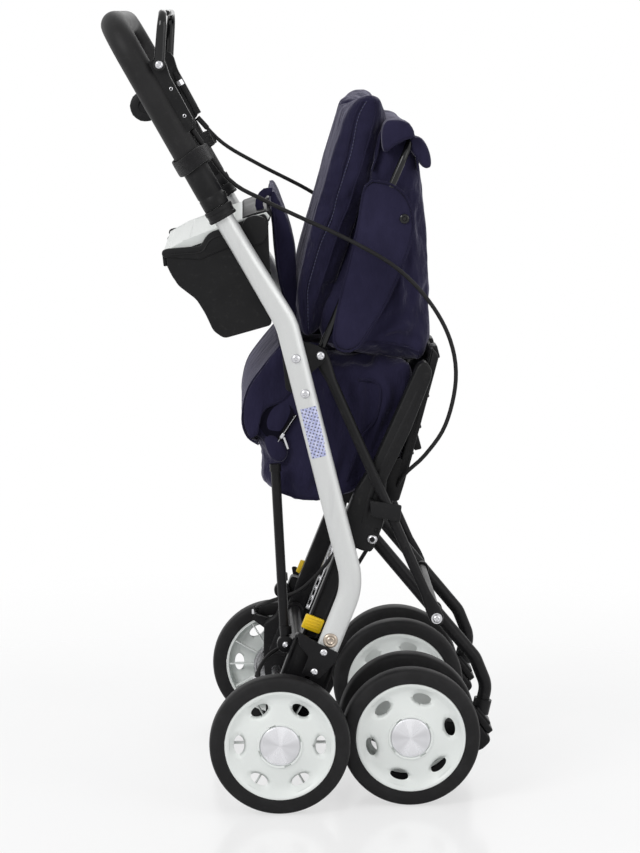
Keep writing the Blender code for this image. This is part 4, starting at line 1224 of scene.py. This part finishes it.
def knob_clamp():
    """The open ring of the clamp on the left handle tube, and its ear."""
    bm = bmesh.new()
    profile = [(16.9, -9), (18.8, -9), (19.5, -8.2), (19.5, 8.2), (18.8, 9), (16.9, 9)]
    verts = [bm.verts.new((-r * MM, 0.0, h * MM)) for r, h in profile]
    edges = [bm.edges.new(pair) for pair in zip(verts, verts[1:] + verts[:1])]
    bmesh.ops.rotate(bm, verts=verts, matrix=Matrix.Rotation(radians(-115), 3, "Z"))
    bmesh.ops.contextual_create(bm, geom=edges)
    bmesh.ops.spin(bm, geom=[*bm.verts, *bm.edges, *bm.faces], axis=(0, 0, 1),
                   angle=radians(230), steps=36)
    bmesh.ops.holes_fill(bm, edges=[e for e in bm.edges if e.is_boundary], sides=8)
    bmesh.ops.transform(bm, matrix=handle_place(KNOB_AT), verts=bm.verts)
    ear = [on_handle(KNOB_AT + s, f) for s, f in ((-7, -14), (7, -14), (6, -37), (-6, -37))]
    plate(bm, round_corners(ear, 4.0, 4), 183, 191, soft=1.2)
    piece("knob_clamp_look", bm, "plastic", "handle")


def height_knob():
    """The round knob with ten lobes, and its pin."""
    middle = on_handle(KNOB_AT, -31)
    profile = [(0, 166.4), (8, 166.4), (9.5, 165), (17.6, 165), (19.4, 166), (20, 167.6),
               (20, 176), (19.2, 178), (17.5, 179), (6, 179), (0, 179)]
    bm = filled(lathe, profile, facing(middle, 1), 60)
    for spot in arc(middle, 17.3, 0, 324, 9):
        lathe(bm, [(0, 165.6), (2.4, 165.6), (3.0, 166.4), (3.0, 177.8), (2.4, 178.5),
                   (0, 178.5)], facing(spot, 1), 14)
    piece("height_knob_look", bm, "plastic", "knob")
    piece("knob_pin", filled(rod, 4, 179.5, 190, facing(middle, 1), 20), "steel", "handle")


class BrakesOperator(bpy.types.Operator):
    """Brake levers and the cables from their brackets to the brake arms."""

    bl_idname = "rollator.brakes"
    bl_label = "Brakes"

    def execute(self, context):
        right = [(-59, 184, 761), (-18, 180, 736), (26, 180, 715), (86, 180, 687),
                 (140, 180, 655), (180, 180, 614), (205, 180, 568), (212, 180, 520),
                 (200, 180, 466), (176, 172, 428)]
        left = [(-68, 192, 786), (-20, 186, 758), (49, 182, 722), (100, 182, 684),
                (140, 184, 630), (160, 185, 570), (166, 184, 500), (164, 176, 444)]
        for (label, side), route in zip(SIDES, (right, left)):
            brake_lever(label, side)
            brake_cable(label, side, route)
        return {"FINISHED"}


def brake_lever(label, side):
    pivot = on_handle(*LEVER_AT)
    corners = lifted((pivot, (-134.5, 955)), side * 214) + [(-137.5, side * 118, 955)]
    path = dense(rounded(corners, 16.0, 12), 6.0)
    count = len(path) - 1
    rings = [(6.4 - 1.6 * min(1.0, i / count / 0.45), 3.9 + 0.4 * min(1.0, i / count / 0.5))
             for i in range(count)]
    bm = filled(sweep, path, rings + [(3.0, 3.1)])
    lathe(bm, [(3.3, 210.2), (6.4, 210.2), (7.2, 211), (7.2, 217.2), (6.4, 218), (3.3, 218)],
          facing(pivot, side), 32, True)
    piece(f"brake_lever_{label}_look", bm, "gloss", "lever_" + label)


def brake_cable(label, side, route):
    """A cable in two halves, split where it reaches furthest forwards."""
    low = [(151, 158, 401), (140, 140, 374), (126, 126, 336), (100, 124, 290), (66, 127, 238),
           (34, 134, 203), (8, 144, 190), (-12, 158, 180), (-22, 178, 172), (-26, 193, 166),
           (-27, 198, 160.5)]
    head = on_handle(BRACKET_SPAN[1] + 1, 19.5)
    points = [(head[0], 199, head[1])] + route + low
    path = smooth_path([(x, side * y, z) for x, y, z in points], 9.0)
    split = max(range(len(path)), key=lambda i: path[i].x)
    for part, run, tip, other, start, end in (
            ("upper", path[:split + 1], path[:3], "handle", path[0], path[16]),
            ("lower", path[split:], path[-3:], "base", (100, side * 124, 290), path[split])):
        bm = filled(sweep, run, 2.5, 16)
        sweep(bm, tip, 3.4, 16)
        made = object_of(f"brake_cable_{label}_{part}", bm, "cable")
        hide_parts("brake_cable_" + label)
        at(*start)
        at(*end)
        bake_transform(made)


class FrontOperator(bpy.types.Operator):
    """Fold links, front legs, their cross tube, caster housings and forks."""

    bl_idname = "rollator.front"
    bl_label = "Front"

    def execute(self, context):
        for label, side in SIDES:
            fold_link(label, side)
            front_leg(label, side)
            caster(label, side)
        bm = bmesh.new()
        sweep(bm, [(190.5, y, 230.1) for y in (-133, 0, 133)], 7.0, 32, up=(0, 0, 1))
        for way in (-1, 1):
            lathe(bm, [(7, 126), (9.6, 126), (10.2, 127), (10.2, 132.4), (9.6, 133), (7, 133)],
                  facing(KNEE_PIVOT, way), 32, True)
        piece("front_cross_tube_look", bm, "black", "front")
        return {"FINISHED"}


def fold_link(label, side):
    """The straight link with flattened ends, its washers and its lower bolt."""
    top, foot = (Vector(p) for p in lifted((LINK_PIVOT, KNEE_PIVOT), side * 182.5))
    run, whole = (foot - top).normalized(), (foot - top).length
    half = (-9, -8, -4, 0, 10, 16, 24, 34, 60)
    path, rings = [], []
    for s in (*half, whole / 2, *(whole - s for s in reversed(half))):
        near = min(s, whole - s)
        flat = 1.0 - min(1.0, max(0.0, (near - 12) / 22))
        wide = 6.2 + 2.4 * flat
        if near < -3:
            wide = 8.6 * max(0.15, 1 - (near / 9.4) ** 2) ** 0.5
        path.append(top + run * s)
        rings.append((wide, 6.0 - 2.4 * flat))
    bm = filled(sweep, path, rings, 28)
    lathe(bm, [(0, 149.9), (4.4, 149.9), (5, 150.5), (5, 188), (0, 188)],
          facing(KNEE_PIVOT, side), 24)
    piece(f"fold_link_{label}_look", bm, "black", "link_" + label)
    bm = bmesh.new()
    for point in (LINK_PIVOT, KNEE_PIVOT):
        lathe(bm, [(3, 185.6), (6.6, 185.6), (6.6, 186.8), (3, 186.8)], facing(point, side), 28,
              True)
    bolt(bm, KNEE_PIVOT, side, 186.6, 5.2, 3.6)
    piece("knee_bolt_" + label, bm, "steel", "link_" + label)


def front_leg(label, side):
    path = dense(rounded(lifted((LEG_PIVOT, *LEG_BENDS), side * 141.5), 32.0, 12), 12.0)
    bm = filled(sweep, path, 8.0, 32)
    pivot = facing(LEG_PIVOT, side)
    lathe(bm, [(0, 134.2), (9.2, 134.2), (10, 135), (10, 148.2), (9.2, 149), (0, 149)], pivot, 36)
    rod(bm, 4, 141, 178, pivot, 24)
    piece(f"front_leg_{label}_look", bm, "black", "front")
    bm = bmesh.new()
    bolt(bm, LEG_PIVOT, side, 175.3, 6.2, 3.6)
    nut(bm, LEG_PIVOT, -side, -134.0, 10.0, 4.0)
    bolt(bm, KNEE_PIVOT, -side, -133.4, 4.4, 2.8)
    piece("leg_bolts_" + label, bm, "steel", "front")


def caster(label, side):
    """The housing on the leg's bent end, the stem with its nut, the fork and its axle."""
    stem = tilted(STEM_AT[0], side * CASTER_Y, STEM_AT[1], STEM_TILT)
    bm = bmesh.new()
    for size, centre, soft in (((38, 36, 8), (-5, 0, 5.3), 1.6), ((26, 30, 5), (-7, 0, 9.8), 1.4)):
        block(bm, size, stem @ Matrix.Translation([c * MM for c in centre]), soft, 3)
    lathe(bm, [(0, 5), (7, 5), (7, -25), (6, -26), (0, -26)], stem)
    sleeve = [along(LEG_BENDS[-1], LEG_BENDS[-2], s, 0) for s in (-2, 16)]
    sweep(bm, lifted(sleeve, side * CASTER_Y), 11.0, 32)
    piece(f"caster_housing_{label}_look", bm, "plastic", "front")
    profile = [(2, 9.2), (6.2, 9.2), (6.2, 11.6), (2, 11.6)]
    bm = filled(lathe, profile, stem @ Matrix.Translation((-7 * MM, 0, 3 * MM)), 6, True)
    piece("stem_nut_" + label, bm, "steel", "front")
    shape = [(22.5, 1), (25, -18), (-28, -82), (-60, -84), (-66, -66), (-20, -16), (-20, 1)]
    outline = [(STEM_AT[0] + x * cos(STEM_TILT) + z * sin(STEM_TILT),
                STEM_AT[1] - x * sin(STEM_TILT) + z * cos(STEM_TILT)) for x, z in shape]
    bm = bmesh.new()
    plate(bm, round_corners(outline, 7.0, 4), side * CASTER_Y - 20, side * CASTER_Y + 20,
          soft=3.0, segments=3)
    axle = facing(CASTER_AXLE, -1, -side * CASTER_Y)
    lathe(bm, [(0, -30), (13, -30), (14, -29), (14, 29), (13, 30), (0, 30)], axle, 40)
    made = object_of(f"caster_fork_{label}_look", bm, "black")
    cut_away(made, filled(rod, 7.3, 12, -27, stem, 28))
    settle(made, "fork_" + label)
    profile = [(0, -50), (5, -50), (6, -49), (6, 49), (5, 50), (0, 50)]
    piece("caster_axle_" + label, filled(lathe, profile, axle, 28), "steel", "fork_" + label)


def even_form(name, outline, near, far, side, soft, segments, voxel):
    """A closed soft form from a side-view outline, as an even mesh of small quads."""
    bm = filled(plate, outline, near, far, side, soft, segments)
    made = object_of(name, bm, "navy", 80.0)
    step = made.modifiers.new("remesh", "REMESH")
    step.mode = "VOXEL"
    step.voxel_size = voxel * MM
    made.modifiers.new("smooth", "SMOOTH").iterations = 4
    applied(made)
    return made


def plumped(name, outline, half, voxel, pressure, growth, most, frames=18):
    """A form blown up for a few frames of cloth, each point moving a set distance at most."""
    made = even_form(name, soft_outline(outline, 7.0), -half, half, 1, 9.0, 4, voxel)
    step = made.modifiers.new("cloth", "CLOTH")
    step.settings.quality = 5
    step.settings.mass = 0.25
    step.settings.tension_stiffness = 12.0
    step.settings.compression_stiffness = 8.0
    step.settings.shear_stiffness = 4.0
    step.settings.bending_stiffness = 0.25
    step.settings.use_pressure = True
    step.settings.uniform_pressure_force = pressure
    step.settings.shrink_min = -growth
    step.settings.effector_weights.gravity = 0.0
    step.collision_settings.use_collision = False
    step.point_cache.frame_end = frames
    for number in range(1, frames + 1):
        bpy.context.scene.frame_set(number)
    before = [vertex.co.copy() for vertex in made.data.vertices]
    applied(made)
    for old, new in zip(before, made.data.vertices):
        shift = new.co - old
        if shift.length > most * MM:
            new.co = old + shift.normalized() * most * MM
    bpy.context.scene.frame_set(1)
    return made


def draped(made, body, amount, along_folds, pitch, seed):
    """Lay long folds along a direction over an even form, smooth it, and let it ride its body."""
    length = Vector(along_folds).normalized()
    aside = length.cross(Vector((0, 1, 0))).normalized()
    normals = [n.vector.copy() for n in made.data.vertex_normals]
    for vertex, normal in zip(made.data.vertices, normals):
        spot = vertex.co / MM
        sample = Vector((spot.dot(aside) / pitch, spot.dot(length) / (pitch * 4.5),
                         spot.y / (pitch * 1.6) + seed))
        ridge = 1.0 - 2.2 * abs(noise.noise(sample))
        ridge += 0.45 * (1.0 - 2.2 * abs(noise.noise(sample * 2.3)))
        vertex.co += normal * ((ridge - 0.8) * amount * MM)
    subdivided(made)
    settle(made, body)


def pinched(made, line, y, depth, width, spacing=6.0):
    """Draw a soft form in along a seam: points near the line move inwards."""
    spots = [at(*p) for p in smooth_path(lifted(line, y), spacing)]
    normals = [n.vector.copy() for n in made.data.vertex_normals]
    for vertex, normal in zip(made.data.vertices, normals):
        near = min((vertex.co - spot).length_squared for spot in spots) ** 0.5 / (width * MM)
        if near < 1.0:
            vertex.co -= normal * (depth * MM * (1 - near * near) ** 2)


def piping(name, made, line, y, body, radius, spacing=6.0, finish="navy_piping"):
    """A thin round edge sewn onto a soft form along a line, a little proud of it."""
    points = []
    for spot in smooth_path(lifted(line, y), spacing):
        _, place, normal, _ = made.closest_point_on_mesh(at(*spot))
        place = (place + normal * 0.5 * MM) / MM
        points.append(place + Vector((ORIGIN_X, 0, 0)))
    for _ in range(2):
        points[1:-1] = [(a + b * 2 + c) / 4 for a, b, c in zip(points, points[1:], points[2:])]
    return piece(name, filled(sweep, points, radius, 10), finish, body)


def cloth_strip(name, line, low, high, body, wall=1.2):
    """A sheet of cloth that follows an open side-view line from one y to another."""
    rows = 12
    edge = [at(*p) for p in smooth_path(lifted(line, low))]
    made = object_of(name, woven(edge, (0, (high - low) / rows * MM, 0), rows), "navy", 80.0)
    walled(made, wall)
    settle(made, body)
    return made


def cloth_panel(name, outline, y, side, body, bulge, wall, skirt=0.0, finish="navy"):
    """A panel of cloth at one side, a little crowned between its edges, its skirt turned inwards."""
    bm = bmesh.new()
    face = bm.faces.new([bm.verts.new(at(*p))
                         for p in lifted(soft_outline(outline, 9.0), side * y)])
    if skirt:
        extruded(bm, list(face.edges), Matrix.Translation((0, -side * skirt * MM, 0)))
    middle = face.calc_center_median()
    for share, lift in ((0.93, 0.45), (0.86, 0.3), (0.75, 0.17), (0.58, 0.08)):
        bmesh.ops.inset_region(bm, faces=[face], thickness=0.05 * MM, use_boundary=not skirt)
        for vert in face.verts:
            vert.co = middle.lerp(vert.co, share)
            vert.co.y += side * bulge * lift * MM
        middle.y += side * bulge * lift * MM
    bmesh.ops.poke(bm, faces=[face])
    made = object_of(name, bm, finish, 80.0)
    walled(made, wall)
    settle(made, body)
    return made


class SeatOperator(bpy.types.Operator):
    """Seat rail, padded seat with its piping, and the cloth sleeve and tab on the rail."""

    bl_idname = "rollator.seat"
    bl_label = "Seat"

    def execute(self, context):
        radius = context.scene.rollator_sizes.piping_radius / MM
        seat_rail()
        seat_pad(radius)
        rail_cloth(radius)
        return {"FINISHED"}


def seat_rail():
    start = along(LINK_PIVOT, RAIL_TOP, 6, 0)
    corners = lifted((start, RAIL_TOP), -158) + lifted((RAIL_TOP, start), 158)
    bm = filled(sweep, dense(rounded(corners, 30.0, 14), 14.0), 4.5)
    for way in (-1, 1):
        lathe(bm, [(4.4, 153.6), (8.4, 153.6), (9, 154.2), (9, 161.8), (8.4, 162.4),
                   (4.4, 162.4)], facing(LINK_PIVOT, way), 36, True)
    piece("seat_rail_look", bm, "gloss", "seat")


def seat_pad(radius):
    front = [(36, 566), (31, 590), (32, 622), (38, 655), (48, 692), (64.5, 750), (79, 802),
             (89, 838), (98, 853)]
    rear = [(111, 856), (121, 853), (124, 844), (121, 826), (101, 755), (80, 692), (60, 628),
            (45, 582), (41, 566)]
    made = plumped("seat_pad_look", front + rear, 147.0, 5.0, 4.0, 0.03, 9.0)
    for y in (-151, 151):
        pinched(made, [(x + 1.5, z) for x, z in front], y, 1.8, 9.0, 7.0)
    for y in (-76, 76):
        pinched(made, [(x - 10, z) for x, z in front], y, 2.4, 11.0)
    draped(made, "seat", 1.5, (0.3, 0.0, 1.0), 26.0, 3.1)
    for label, side in SIDES:
        for what, line, shift, thick, finish in (
                ("piping_front", front, 1.5, radius, "navy_piping"),
                ("piping_rear", rear[1:], -1, radius * 0.8, "navy_piping"),
                ("stitches", front, 7.5, 0.6, "thread")):
            piping(f"seat_{what}_{label}", made, [(x + shift, z) for x, z in line], side * 152,
                   "seat", thick, 7.0, finish)


def rail_cloth(radius):
    """The sleeve on the rail with its hems, its folded tab, and a hood over each corner."""
    over = [(112, 768), (119, 790), (123, 812), (129, 826), (144, 828.5), (156, 824),
            (162, 812), (165, 790), (168, 768)]
    sleeve = cloth_strip("rail_sleeve", over, -147, 147, "seat")
    tab = [(157, 806.4), (169.1, 808), (178, 799), (182.5, 784.4), (182.5, 772), (175.2, 771),
           (166.6, 782), (157, 794.2)]
    made = even_form("rail_tab", soft_outline(tab, 4.0), -150, -98, 1, 3.0, 3, 2.5)
    draped(made, "seat", 0.9, (0.4, 0.0, -1.0), 14.0, 2.2)
    hood = [(124, 797), (123.8, 818), (129.7, 828.8), (144.3, 830), (155, 826.5), (161.5, 817),
            (163, 806.5), (154.5, 807.1), (144.3, 803.6), (135.9, 797.4), (128.6, 789)]
    for label, side in SIDES:
        piece("sleeve_hem_" + label, filled(cord, over, side * 147, radius * 0.7, 8),
              "navy_piping", "seat")
        made = even_form("rail_hood_" + label, soft_outline(hood, 4.0), 118, 165, side, 4.0, 3, 3.0)
        draped(made, "seat", 0.7, (1.0, 0.0, 0.3), 18.0, 1.7 * side)
        piping("hood_hem_" + label, made, hood[6:], side * 165.5, "seat", radius * 0.8, 4.0)


class BagOperator(bpy.types.Operator):
    """The bag in its upper and lower part, side flaps, rear pocket, zips and the back flap."""

    bl_idname = "rollator.bag"
    bl_label = "Bag"

    def execute(self, context):
        radius = context.scene.rollator_sizes.piping_radius / MM
        bag_upper(radius)
        bag_lower(radius)
        rear_pocket(radius)
        back_flap(radius)
        return {"FINISHED"}


def bag_upper(radius):
    """The upper part with its seams, hems and side flaps."""
    outline = [(140, 826), (124, 815), (113, 775), (98, 712), (80, 650), (56, 598), (52, 566),
               (72, 557), (111, 552.5), (150, 546), (173, 542.5), (177, 600), (174, 670),
               (169, 726), (164, 776), (156, 815), (151, 826)]
    made = plumped("bag_upper_look", outline, 142.0, 5.0, 3.0, 0.02, 7.0)
    seam = [(157.6, 690), (144.3, 644.6), (128.6, 618), (116.5, 590.3), (111, 566)]
    for side in (-1, 1):
        pinched(made, seam, side * 149, 4.0, 11.0)
        for fold in ([(110, 566), (128, 583), (147, 592), (170, 590)],
                     [(118, 556), (136, 566), (154, 568), (172, 562)],
                     [(168, 730), (160, 690), (158, 650), (166, 610)]):
            pinched(made, fold, side * 149, 7.0, 12.0)
    draped(made, "seat", 3.2, (0.3, 0.0, 1.0), 30.0, 5.3)
    tucked(made)
    hem = [(108, 557), (150, 551), (171, 547)]
    for label, side in SIDES:
        tucked(piping("bag_seam_" + label, made, seam, side * 152, "seat", radius))
        tucked(piping("bag_hem_" + label, made, hem, side * 150, "seat", radius * 0.8))
        side_flap(label, side, radius)


def tucked(made):
    """Give a piece of the upper bag a mesh of its own."""
    at(100, 0, 700)
    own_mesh(made)


def side_flap(label, side, radius):
    """A side flap with its piping and its press stud."""
    outline = [(104, 751), (120.4, 756.3), (141.7, 749), (155.1, 733.8), (161.1, 712.5),
               (159.9, 691.2), (147.8, 654.6), (129.5, 612), (111.2, 581.6), (94.2, 557),
               (77.7, 553), (66.2, 564.5), (72, 606), (84, 654.6), (95, 704)]
    made = cloth_panel("side_flap_" + label, outline, 161.5, side, "seat", 3.4, 1.8, 12.0)
    edge = soft_outline(outline, 7.0)
    bm = filled(sweep, lifted(edge + edge[:1], side * 162.2), radius, 10)
    piece("side_flap_piping_" + label, bm, "navy_piping", "seat")
    profile = [(0, 0.8), (2.2, 0.8), (3.0, 2.0), (4.6, 2.4), (5.6, 1.8), (6.0, 0.2), (6.0, -1.4),
               (0, -1.4)]
    bm = filled(lathe, profile, facing((150.5, 712), side, 164.6))
    piece("snap_" + label, bm, "stud", "seat")


def bag_lower(radius):
    """The lower part with its folds and seams, the front pocket's edge, and the neck's sides."""
    outline = [(-4, 540), (-22, 521), (-38, 490), (-37, 458), (-20, 432), (-12, 415),
               (-14, 390), (-3, 375), (22, 368), (62, 369), (104, 389), (131, 427),
               (151, 471), (161, 520), (155, 537), (50, 538)]
    made = plumped("bag_lower_look", outline, 142.0, 5.5, 2.6, 0.015, 6.0)
    for side in (-1, 1):
        for depth, wide, seam in (
                (5.0, 11.0, [(-8, 440), (6, 400), (16, 378)]),
                (9.0, 13.0, [(78, 536), (88, 480), (82, 425), (70, 378)]),
                (8.0, 12.0, [(99, 534), (112, 500), (108, 455), (96, 400)]),
                (9.0, 12.0, [(134, 532), (146, 506), (138, 470), (118, 430)]),
                (8.0, 12.0, [(56, 520), (66, 470), (60, 420), (46, 385)]),
                (6.0, 11.0, [(-30, 505), (-12, 500), (8, 515), (26, 530)])):
            pinched(made, seam, side * 149, depth, wide)
    draped(made, "frame", 3.4, (0.35, 0.0, 1.0), 30.0, 9.7)
    base = [(-12, 390), (-2, 374), (22, 367), (60, 368), (101, 387)]
    front = [(97, 520), (117, 516), (121.5, 505), (119, 488), (112.6, 465), (99, 429), (81, 391)]
    neck = [(14, 535), (3, 556), (20, 561), (40, 562), (56, 558), (57, 545), (40, 537)]
    for label, side in SIDES:
        piping("bag_bottom_seam_" + label, made, base, side * 146, "frame", radius)
        piping("front_pocket_edge_" + label, made, front, side * 150, "frame", radius)
        panel = cloth_panel("bag_neck_" + label, neck, 148.0, side, "frame", 2.0, 1.6)


def rear_pocket(radius):
    """The rear pocket's overhanging flap with its gussets, the zips, and their pulls."""
    fall = [(2, 557), (-18, 533), (-35, 509), (-42, 486), (-43.5, 464), (-37, 447), (-24, 438)]
    flap = cloth_strip("pocket_flap", fall, -148, 148, "frame", 2.0)
    gusset = [(3, 557), (-17, 533), (-34, 509), (-41, 486), (-42, 464), (-35, 447), (-26, 452),
              (-24, 470), (-14, 484), (4, 492), (18, 508), (14, 535)]
    mouth = [(-24, 466), (-17, 479), (-4, 487), (12, 488), (19, 474), (12, 454), (0, 446),
             (-16, 448)]
    lobe = [(-17, 446), (-8, 449), (2, 444), (10, 432), (9, 421), (0, 416), (-11, 424)]
    for label, side in SIDES:
        made = cloth_panel("pocket_gusset_" + label, gusset, 148.6, side, "frame", 4.5, 1.6)
        bm = filled(cord, gusset[5:11], side * 149.4, radius)
        cord(bm, fall, side * 148, radius * 0.8, 8)
        piece("pocket_piping_" + label, bm, "navy_piping", "frame")
        # The mouth is a sunk sheet in the much darker navy: painted shade standing for the shadowed
        # opening under the gusset.
        made = cloth_panel("pocket_mouth_painted_shade_" + label, mouth, 149.0, side, "frame", -3.0, 1.0,
                           finish="navy_shade")
        made = cloth_panel("pocket_lobe_" + label, lobe, 147.0, side, "frame", 4.0, 1.6)
        pocket_zip(label, side)


def pocket_zip(label, side):
    line = smooth_path([(21, side * 149.2, 474), (10, side * 149.6, 459),
                        (-0.5, side * 149.4, 442)], 4.0)
    piece("zip_tape_" + label, filled(sweep, line, (2.6, 0.7), 12), "webbing", "frame")
    bm = bmesh.new()
    run, pitch, lean = line[-1] - line[0], 1.6, radians(36)
    for index in range(int(run.length / pitch)):
        spot = line[0] + run.normalized() * (pitch * index + 1.0)
        block(bm, (0.8, 1.6, 2.6), tilted(spot.x, side * 150.4, spot.z, lean), 0.2, 1)
    block(bm, (4.0, 2.6, 7.0), tilted(4.5, side * 151.0, 449, lean), 0.7)
    block(bm, (2.6, 1.0, 15.0), tilted(9.0, side * 151.6, 440, radians(-20)), 0.4)
    piece("zip_pull_" + label, bm, "steel", "frame")


def back_flap(radius):
    """The back flap with its piping and strap loop."""
    outline = [(-8, 743), (-9, 726), (-5, 690), (-2, 650), (7, 608), (18, 578), (25, 568),
               (27, 584), (25, 610), (24, 640), (21, 676), (10, 712), (-2, 741)]
    made = even_form("back_flap_look", soft_outline(outline, 5.0), -118, 118, 1, 3.0, 3, 3.6)
    draped(made, "frame", 1.4, (0.1, 0.0, 1.0), 40.0, 2.9)
    pressed(made)
    for label, side in SIDES:
        pressed(piping("back_flap_piping_" + label, made, outline[:7], side * 119, "frame",
                       radius, 7.0))
    loop = [(-7, -113, 741), (-15, -115, 741), (-21, -117, 734), (-22.5, -118, 725),
            (-19, -117, 716)]
    bm = filled(sweep, smooth_path(loop, 4.0), (5.0, 0.9), 12)
    made = piece("flap_strap_loop", bm, "navy", "frame")
    pressed(made)


def pressed(made):
    """Give a piece of the back flap a mesh of its own."""
    at(26, 0, 700)
    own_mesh(made)


class BoxOperator(bpy.types.Operator):
    """Storage box with its lugs, ribs and clips, and the hinged pale lid."""

    bl_idname = "rollator.box"
    bl_label = "Box"

    def execute(self, context):
        box_shell()
        for label, side in SIDES:
            box_rim(label, side)
        box_lid()
        return {"FINISHED"}


def box_shell():
    """The hollow box, its lugs and ribs, and the clips at its front."""
    outline = [(-134, 668), (-131, 652), (-120, 633), (-98, 616), (-87, 598), (-78, 578),
               (-65, 569), (-8, 585), (-12, 710)]
    hollow = [(-129, 700), (-127, 654), (-116, 636), (-94, 619), (-84, 600), (-75, 581),
              (-64, 573), (-12, 588), (-16, 730)]
    bm = filled(plate, round_corners(outline, 5.0, 4), -165, 165)
    made = object_of("storage_box_look", bm, "plastic")
    cut_away(made, filled(plate, round_corners(hollow, 4.0, 4), -162, 162))
    rounded_edges(made, 1.1, 3, 40.0)
    settle(made, "frame")
    bm = bmesh.new()
    for way in (-1, 1):
        for spot in ((-49.8, 686), (-14, 618)):
            lathe(bm, [(0, 160), (8, 160), (8, 187), (7, 188.2), (0, 188.2)], facing(spot, way))
    rib = [(-135.2, 664), (-132.4, 651), (-121, 631.6), (-99.4, 614.4), (-88.6, 597), (-79, 577)]
    for y in (-110, -55, 0, 55, 110):
        cord(bm, rib, y, (1.6, 2.4), spacing=8.0)
    piece("box_lugs_and_ribs", bm, "plastic", "frame")
    bm = bmesh.new()
    for y in (-120, 120):
        block(bm, (5, 26, 16), tilted(-136.2, y, 661, radians(-6)), 1.4, 3)
    piece("box_clips", bm, "plastic", "frame")


def box_rim(label, side):
    rim = [(-138.6, 667), (-139, 674.5), (-133, 677), (-93, 680), (-86, 692), (-80, 697),
           (-71, 700), (-40, 711), (-16, 719), (-11, 708), (-14, 694), (-60, 678), (-84, 668),
           (-92, 664)]
    bead = [(-135.5, 669), (-110, 671), (-91, 673.5), (-82.5, 686), (-72, 692), (-40, 702)]
    boss = [(-45, 700), (-40, 713), (-28, 718), (-15, 714), (-11, 700), (-17, 684), (-34, 679)]
    bm = side_plate(rim, 3.5, side, 161.3, 167.6, 1.2)
    plate(bm, round_corners(boss, 5.0), 166.0, 174.0, side, 1.6)
    cord(bm, bead, side * 167.4, (1.3, 1.1))
    piece("box_rim_" + label, bm, "plastic", "frame")


def box_lid():
    """The pale lid with its sunk panels, and its hinge."""
    outline = [(-137, 667.4), (-137, 673), (-112, 687), (-80, 699), (-46, 711), (-14, 720),
               (-10, 715), (-12.5, 710.3)]
    made = object_of("box_lid_look", filled(plate, outline, -161, 161), "white")
    bm = bmesh.new()
    bm.from_mesh(made.data)
    for face in [f for f in bm.faces if f.normal.z > 0.8]:
        bmesh.ops.inset_region(bm, faces=[face], thickness=9.0 * MM, depth=0.0)
        bmesh.ops.inset_region(bm, faces=[face], thickness=1.2 * MM, depth=-1.0 * MM)
    bm.to_mesh(made.data)
    bm.free()
    rounded_edges(made, 1.2, 3, 25.0)
    settle(made, "lid")
    bm = bmesh.new()
    for y in (-110, 0, 110):
        lathe(bm, [(0, y - 22), (4.0, y - 22), (4.6, y - 21), (4.6, y + 21), (4.0, y + 22),
                   (0, y + 22)], facing((-12, 716), 1), 28)
    cover = [(-44, 709), (-42, 714), (-28, 719), (-13, 722.5), (-8, 717), (-11, 708)]
    plate(bm, round_corners(cover, 2.0), -157, 157, soft=0.8)
    piece("lid_hinge", bm, "plastic", "lid")


class RollatorPanel(bpy.types.Panel):
    """Lists the operators and the shared sizes and colours."""

    bl_idname = "VIEW3D_PT_rollator"
    bl_label = "Folding rollator"
    bl_space_type = "VIEW_3D"
    bl_region_type = "UI"
    bl_category = "Rollator"

    def draw(self, context):
        for owner in (context.scene.rollator_sizes, context.scene.rollator_colours):
            for name in owner.__annotations__:
                self.layout.prop(owner, name)
        for operator in OPERATORS:
            self.layout.operator(operator.bl_idname)


OPERATORS = (StageOperator, WheelsOperator, BaseOperator, FrameOperator, HandleOperator,
             BrakesOperator, FrontOperator, SeatOperator, BagOperator, BoxOperator)
CLASSES = (RollatorSizes, RollatorColours, *OPERATORS, RollatorPanel)


def register():
    for kind in CLASSES:
        bpy.utils.register_class(kind)
    bpy.types.Scene.rollator_sizes = bpy.props.PointerProperty(type=RollatorSizes)
    bpy.types.Scene.rollator_colours = bpy.props.PointerProperty(type=RollatorColours)


def unregister():
    del bpy.types.Scene.rollator_colours
    del bpy.types.Scene.rollator_sizes
    for kind in reversed(CLASSES):
        bpy.utils.unregister_class(kind)


def main():
    register()
    for operator in OPERATORS:
        group, name = operator.bl_idname.split(".")
        getattr(getattr(bpy.ops, group), name)()


if __name__ == "__main__":
    main()
